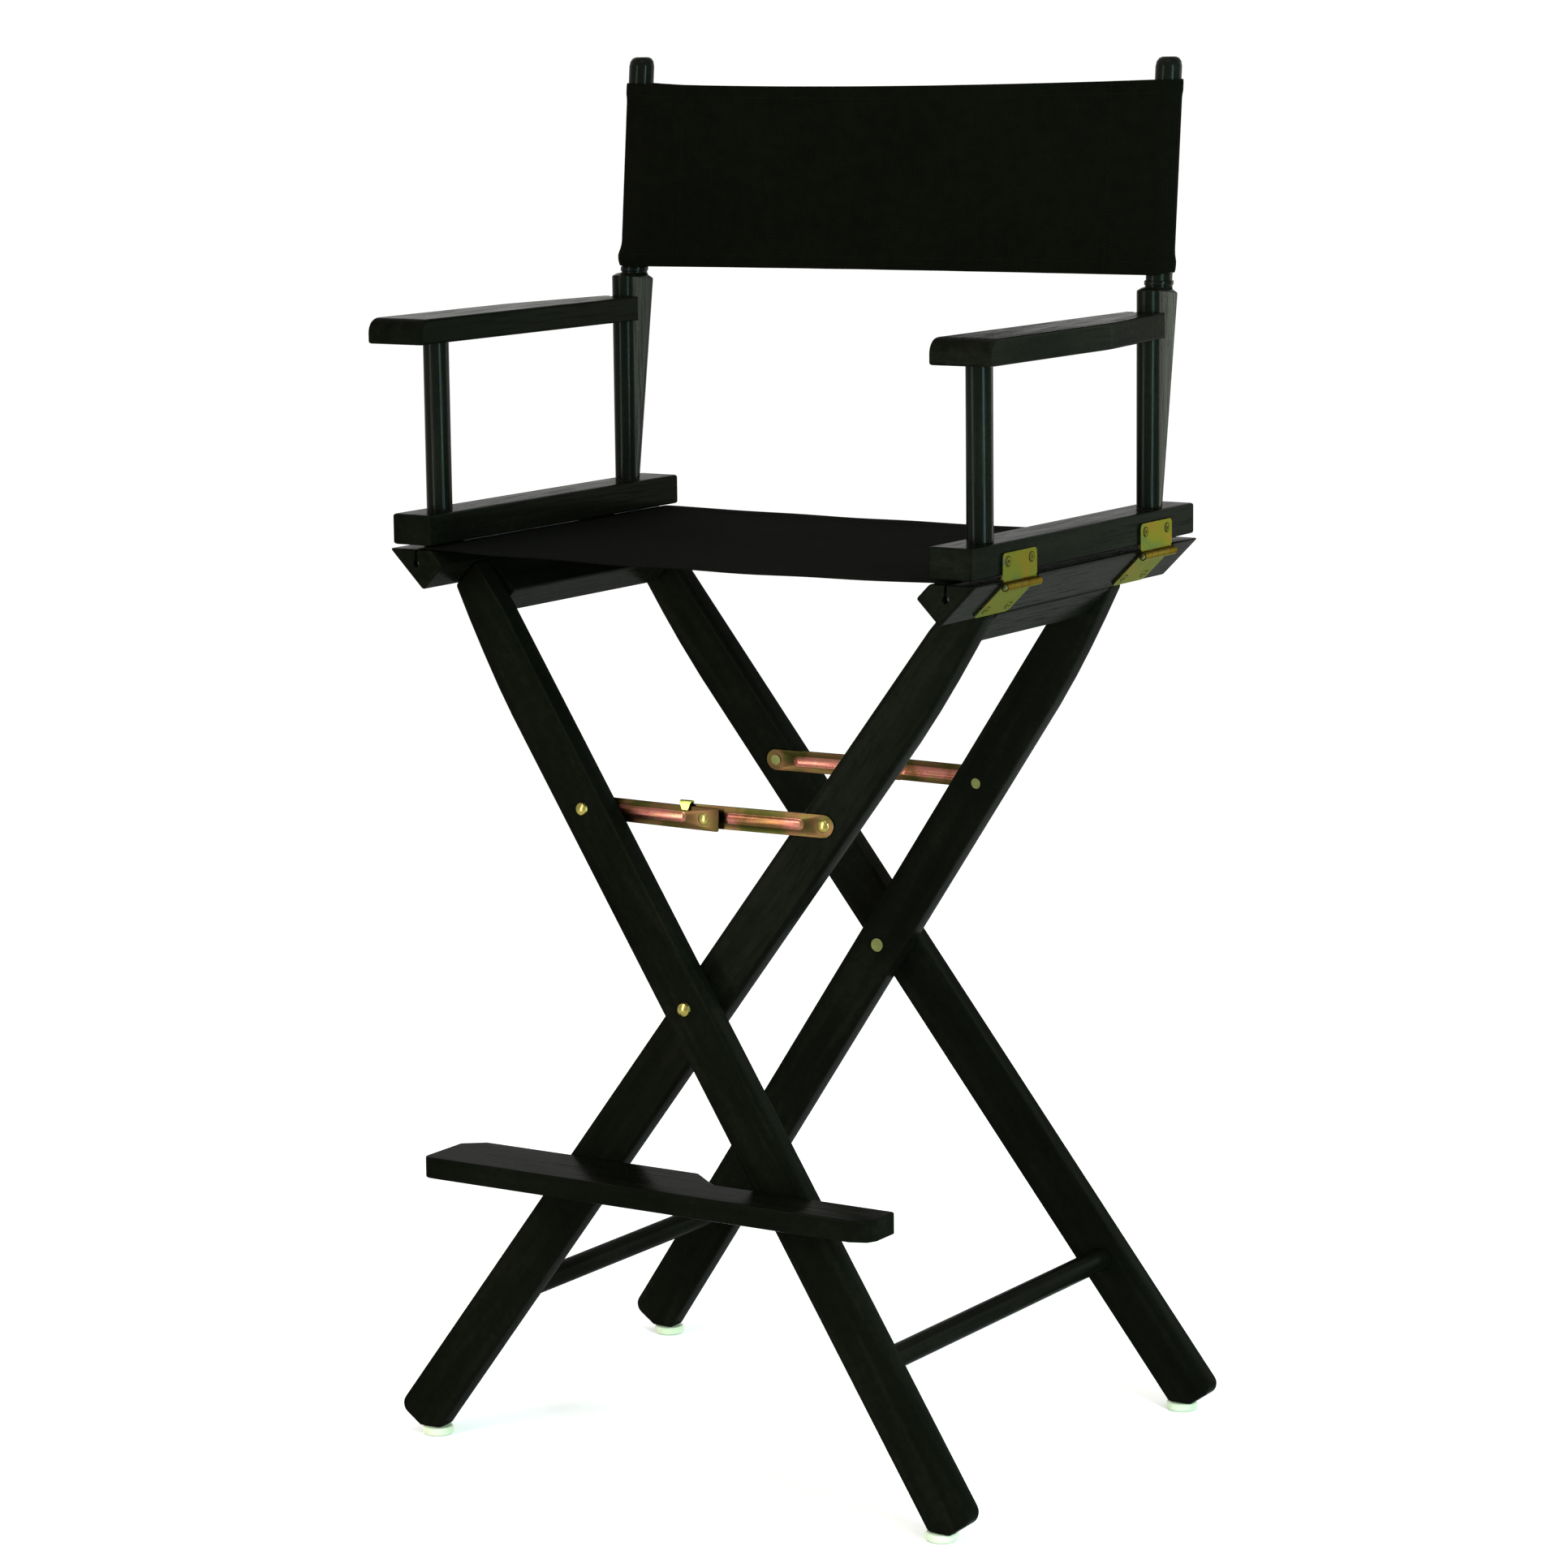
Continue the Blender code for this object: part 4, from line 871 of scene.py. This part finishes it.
def build_stop(name, front, pivot, up):
    """The bright tab bent over the other stay's edge."""
    middle = STAY_LENGTH + TAB_PAST
    over = front * TAB_REACH
    # (square to the stay, up from its middle, half the tab's width)
    section = [(0.0, STAY_HALF - 0.0025, 0.0034), (0.0, STAY_HALF + 0.0004, 0.0046)]
    section += [(over * 0.14, STAY_HALF + 0.0018, 0.0056), (over * 0.5, STAY_HALF + 0.0024, 0.0060)]
    section += [(over * 0.88, STAY_HALF + 0.0018, 0.0056), (over, STAY_HALF + 0.0002, 0.0048)]
    section += [(over, STAY_HALF - 0.0040, 0.0034), (over, STAY_HALF - 0.0052, 0.0026)]
    path = [(y, z) for y, z, _ in section]
    rings = []
    bm = bmesh.new()
    for (y, z, wide), normal in zip(section, path_normals(path)):
        ring = []
        for side, depth in ((-1, -1), (1, -1), (1, 1), (-1, 1)):
            shift = normal * depth * TAB_THICK / 2
            point = Vector((middle + side * wide, y + shift.x + front * STAY_OFFSET, up * (z + shift.y)))
            ring.append(bm.verts.new(pivot @ point))
        rings.append(ring)
    for first, second in zip(rings, rings[1:]):
        bridge(bm, first, second)
    bm.faces.new(rings[0])
    bm.faces.new(rings[-1][::-1])
    tab = new_object(name + "_stop", bm, TAB_STEEL, name, 40)
    soft = tab.modifiers.new("Bevel", "BEVEL")
    soft.width = 0.0003
    soft.segments = 2
    soft.angle_limit = math.radians(50)


SCREW_R = 0.0036
SCREW_RIM = 0.0007  # the countersink's painted shade shows this far round a head
UPPER_LEAF_FACE_X = 0.27912  # just proud of an upper leaf's outer face
UPPER_SCREW_DOWN = 0.0070  # below a leaf's top
LOWER_SCREW_UP = 0.0085  # from a lower leaf's end
LEAF_SIDE_MARGIN = 0.0085  # from a leaf's front and rear edges
LOWER_SPREAD = 0.95  # the lower screws are closer together than the upper ones
BATTEN_SCREW_FRONT, BATTEN_SCREW_REAR = 0.030, 0.022  # from the batten's ends
HINGE_SCREW_RISE, BATTEN_SCREW_RISE = 0.0006, 0.0003


def screw_head(bm, matrix, turn, rise):
    """A countersunk head with a cross recess, along the matrix's Z. The recess and a ring round the head
    are painted shade.
    """
    radius, edge = SCREW_R, SCREW_R + SCREW_RIM
    before = len(bm.faces)
    turned(bm, matrix, [(0, -0.0002), (edge, -0.0002), (edge, 0.0001), (0, 0.0001)], 16)
    # The ring round the head is the painted shade of the countersink.
    for face in list(bm.faces)[before:]:
        face.material_index = 1
    profile = [(0, -0.0012), (radius * 0.82, -0.0012), (radius, 0.0)]
    profile += [(radius * 0.96, rise * 0.45), (radius * 0.72, rise * 0.85), (radius * 0.52, rise)]
    turned(bm, matrix, profile + [(0, rise)], 16)
    spin = matrix @ Matrix.Rotation(turn, 4, "Z")
    for quarter in range(4):
        arm = spin @ Matrix.Rotation(quarter * math.pi / 2, 4, "Z")
        half, tip, reach = radius * 0.11, radius * 0.11 * 0.7, radius * 0.50
        top, low = rise + 0.00006, rise - 0.0003
        outline = [(-half, 0.0), (half, 0.0), (tip, reach), (-tip, reach)]
        upper = [bm.verts.new(arm @ Vector((x, y, top))) for x, y in outline]
        under = [bm.verts.new(arm @ Vector((x, y, low))) for x, y in outline]
        bridge(bm, upper, under)
        bm.faces.new(upper)
        bm.faces.new(under[::-1])
        # The cross recess is painted shade.
        for face in list(bm.faces)[-6:]:
            face.material_index = 1


def build_screws(name, places, material, body, rise):
    """One piece of screw heads, each turned at random."""
    bm = bmesh.new()
    for place in places:
        screw_head(bm, place, RNG.uniform(0, math.pi), rise)
    screws = new_object(name, bm, material, body, 40)
    # Slot 1 is the painted shade of the recesses and countersinks.
    screws.data.materials.append(RECESS_SHADE)


def build_hinge_screws():
    """Two screws near the top of each upper leaf and two near the end of each lower leaf."""
    for side, side_name, rail_body, arm_body in (
        (-1, "left", "outer_frame", "left_arm_frame"),
        (1, "right", "inner_frame", "right_arm_frame"),
    ):
        outward = Matrix.Rotation(side * math.pi / 2, 4, "Y")
        slope = Matrix.Rotation(side * math.radians(135), 4, "Y")
        spot = leaf_end(side) + Vector((side, 0.0, 1.0)).normalized() * LOWER_SCREW_UP
        for end_name in ("front", "rear"):
            low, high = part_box(f"{side_name}_{end_name}_hinge_upper_leaf")
            middle = (low.y + high.y) / 2
            spread = (high.y - low.y) / 2 - LEAF_SIDE_MARGIN
            upper_z = high.z - UPPER_SCREW_DOWN
            upper = [
                Matrix.Translation((side * UPPER_LEAF_FACE_X, y, upper_z)) @ outward
                for y in (middle - spread, middle + spread)
            ]
            lower = [
                Matrix.Translation((spot.x, y, spot.z)) @ slope
                for y in (middle - spread * LOWER_SPREAD, middle + spread * LOWER_SPREAD)
            ]
            for leaf, places, body in (("upper", upper, arm_body), ("lower", lower, rail_body)):
                name = f"{side_name}_{end_name}_{leaf}_screws"
                build_screws(name, places, SCREW_STEEL, body, HINGE_SCREW_RISE)


def leaf_end(side):
    """Middle of the lower end of a lower leaf, on its outer face, in the plane y = 0."""
    down = Vector((-side, 0.0, -1.0)).normalized()
    outward = Vector((side, 0.0, -1.0)).normalized()
    axis = Vector((side * HINGE_X, 0.0, HINGE_Z))
    return axis + down * LEAF_DOWN - outward * (LEAF_BACK - LEAF_THICK)


def build_batten_screws():
    """Two black screws in the lower face of each batten, which hold it up to its rail."""
    reach = RAIL_FACE / math.sqrt(2)
    for side, side_name, body in ((-1, "left", "outer_frame"), (1, "right", "inner_frame")):
        low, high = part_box(f"{side_name}_rail_batten")
        inner_x = high.x if side < 0 else low.x
        slope = Matrix.Rotation(-side * math.radians(135), 4, "Y")
        places = [
            Matrix.Translation((inner_x + side * reach / 2, y, low.z + reach / 2)) @ slope
            for y in (low.y + BATTEN_SCREW_FRONT, high.y - BATTEN_SCREW_REAR)
        ]
        name = f"{side_name}_batten_screws"
        build_screws(name, places, STEEL, body, BATTEN_SCREW_RISE)


# ---------------------------------------------------------------- the chair

build_camera()
build_studio()
CANVAS = canvas_material("black_duck", (math.pi / 2, 0, 0))
SEAT_CANVAS = canvas_material("black_duck_seat", (0, 0, 0), 0.9)
HINGE_STEEL = plated_material(
    "yellow_zinc",
    (
        (0.30, (0.100, 0.048, 0.022)),
        (0.42, (0.072, 0.060, 0.018)),
        (0.54, (0.056, 0.062, 0.020)),
        (0.70, (0.028, 0.050, 0.034)),
    ),
    0.24,
    knuckle_stops=(
        (0.30, (0.040, 0.018, 0.008)),
        (0.52, (0.066, 0.034, 0.014)),
        (0.70, (0.070, 0.050, 0.020)),
    ),
)
STAY_STEEL = plated_material(
    "bronze_zinc",
    (
        (0.28, (0.012, 0.013, 0.003)),
        (0.42, (0.022, 0.019, 0.005)),
        (0.56, (0.046, 0.024, 0.011)),
        (0.74, (0.038, 0.037, 0.008)),
    ),
    0.24, 32.0, 3.1,
)
# The stays' plating on the rib: a copper tint, made several times lighter as a painted highlight on the
# ridge.
RIB_HIGHLIGHT_STEEL = plated_material(
    "copper_zinc_painted_highlight",
    (
        (0.28, (0.060, 0.038, 0.010)),
        (0.42, (0.140, 0.052, 0.030)),
        (0.58, (0.230, 0.080, 0.065)),
        (0.76, (0.150, 0.120, 0.030)),
    ),
    0.20, 32.0, 3.1,
)
TAB_STEEL = plated_material(
    "bright_zinc", ((0.30, (0.24, 0.28, 0.045)), (0.70, (0.38, 0.42, 0.10))), 0.22, 90.0, 4.4
)
BRIGHT_RIVET = plated_material(
    "bright_brass", ((0.30, (0.17, 0.13, 0.030)), (0.70, (0.28, 0.24, 0.075))), 0.14, 80.0, 1.7
)
DULL_RIVET = plated_material(
    "dull_zinc", ((0.30, (0.052, 0.058, 0.020)), (0.70, (0.105, 0.112, 0.040))), 0.38, 120.0, 2.3
)
SCREW_STEEL = plated_material(
    "screw_zinc", ((0.30, (0.040, 0.034, 0.010)), (0.70, (0.110, 0.095, 0.030))), 0.26, 240.0, 6.1
)
# Near black painted shade for the screws' cross recesses and countersink rings.
RECESS_SHADE = plain_material("screw_recess_painted_shade", (0.0035, 0.0030, 0.0020), 0.6, specular=0.02)
THREAD = canvas_material("black_thread", (0, 0, 0), 1.9)
NYLON = nylon_material()
STEEL = steel_material()
SMOOTH, FINE_SMOOTH = smooth_by_angle(35), smooth_by_angle(8)
finish_cad_nodes()
build_back()
build_seat()
for front in (-1, 1):
    for outer in (True, False):
        build_stay(front, outer)
build_hinge_screws()
build_batten_screws()
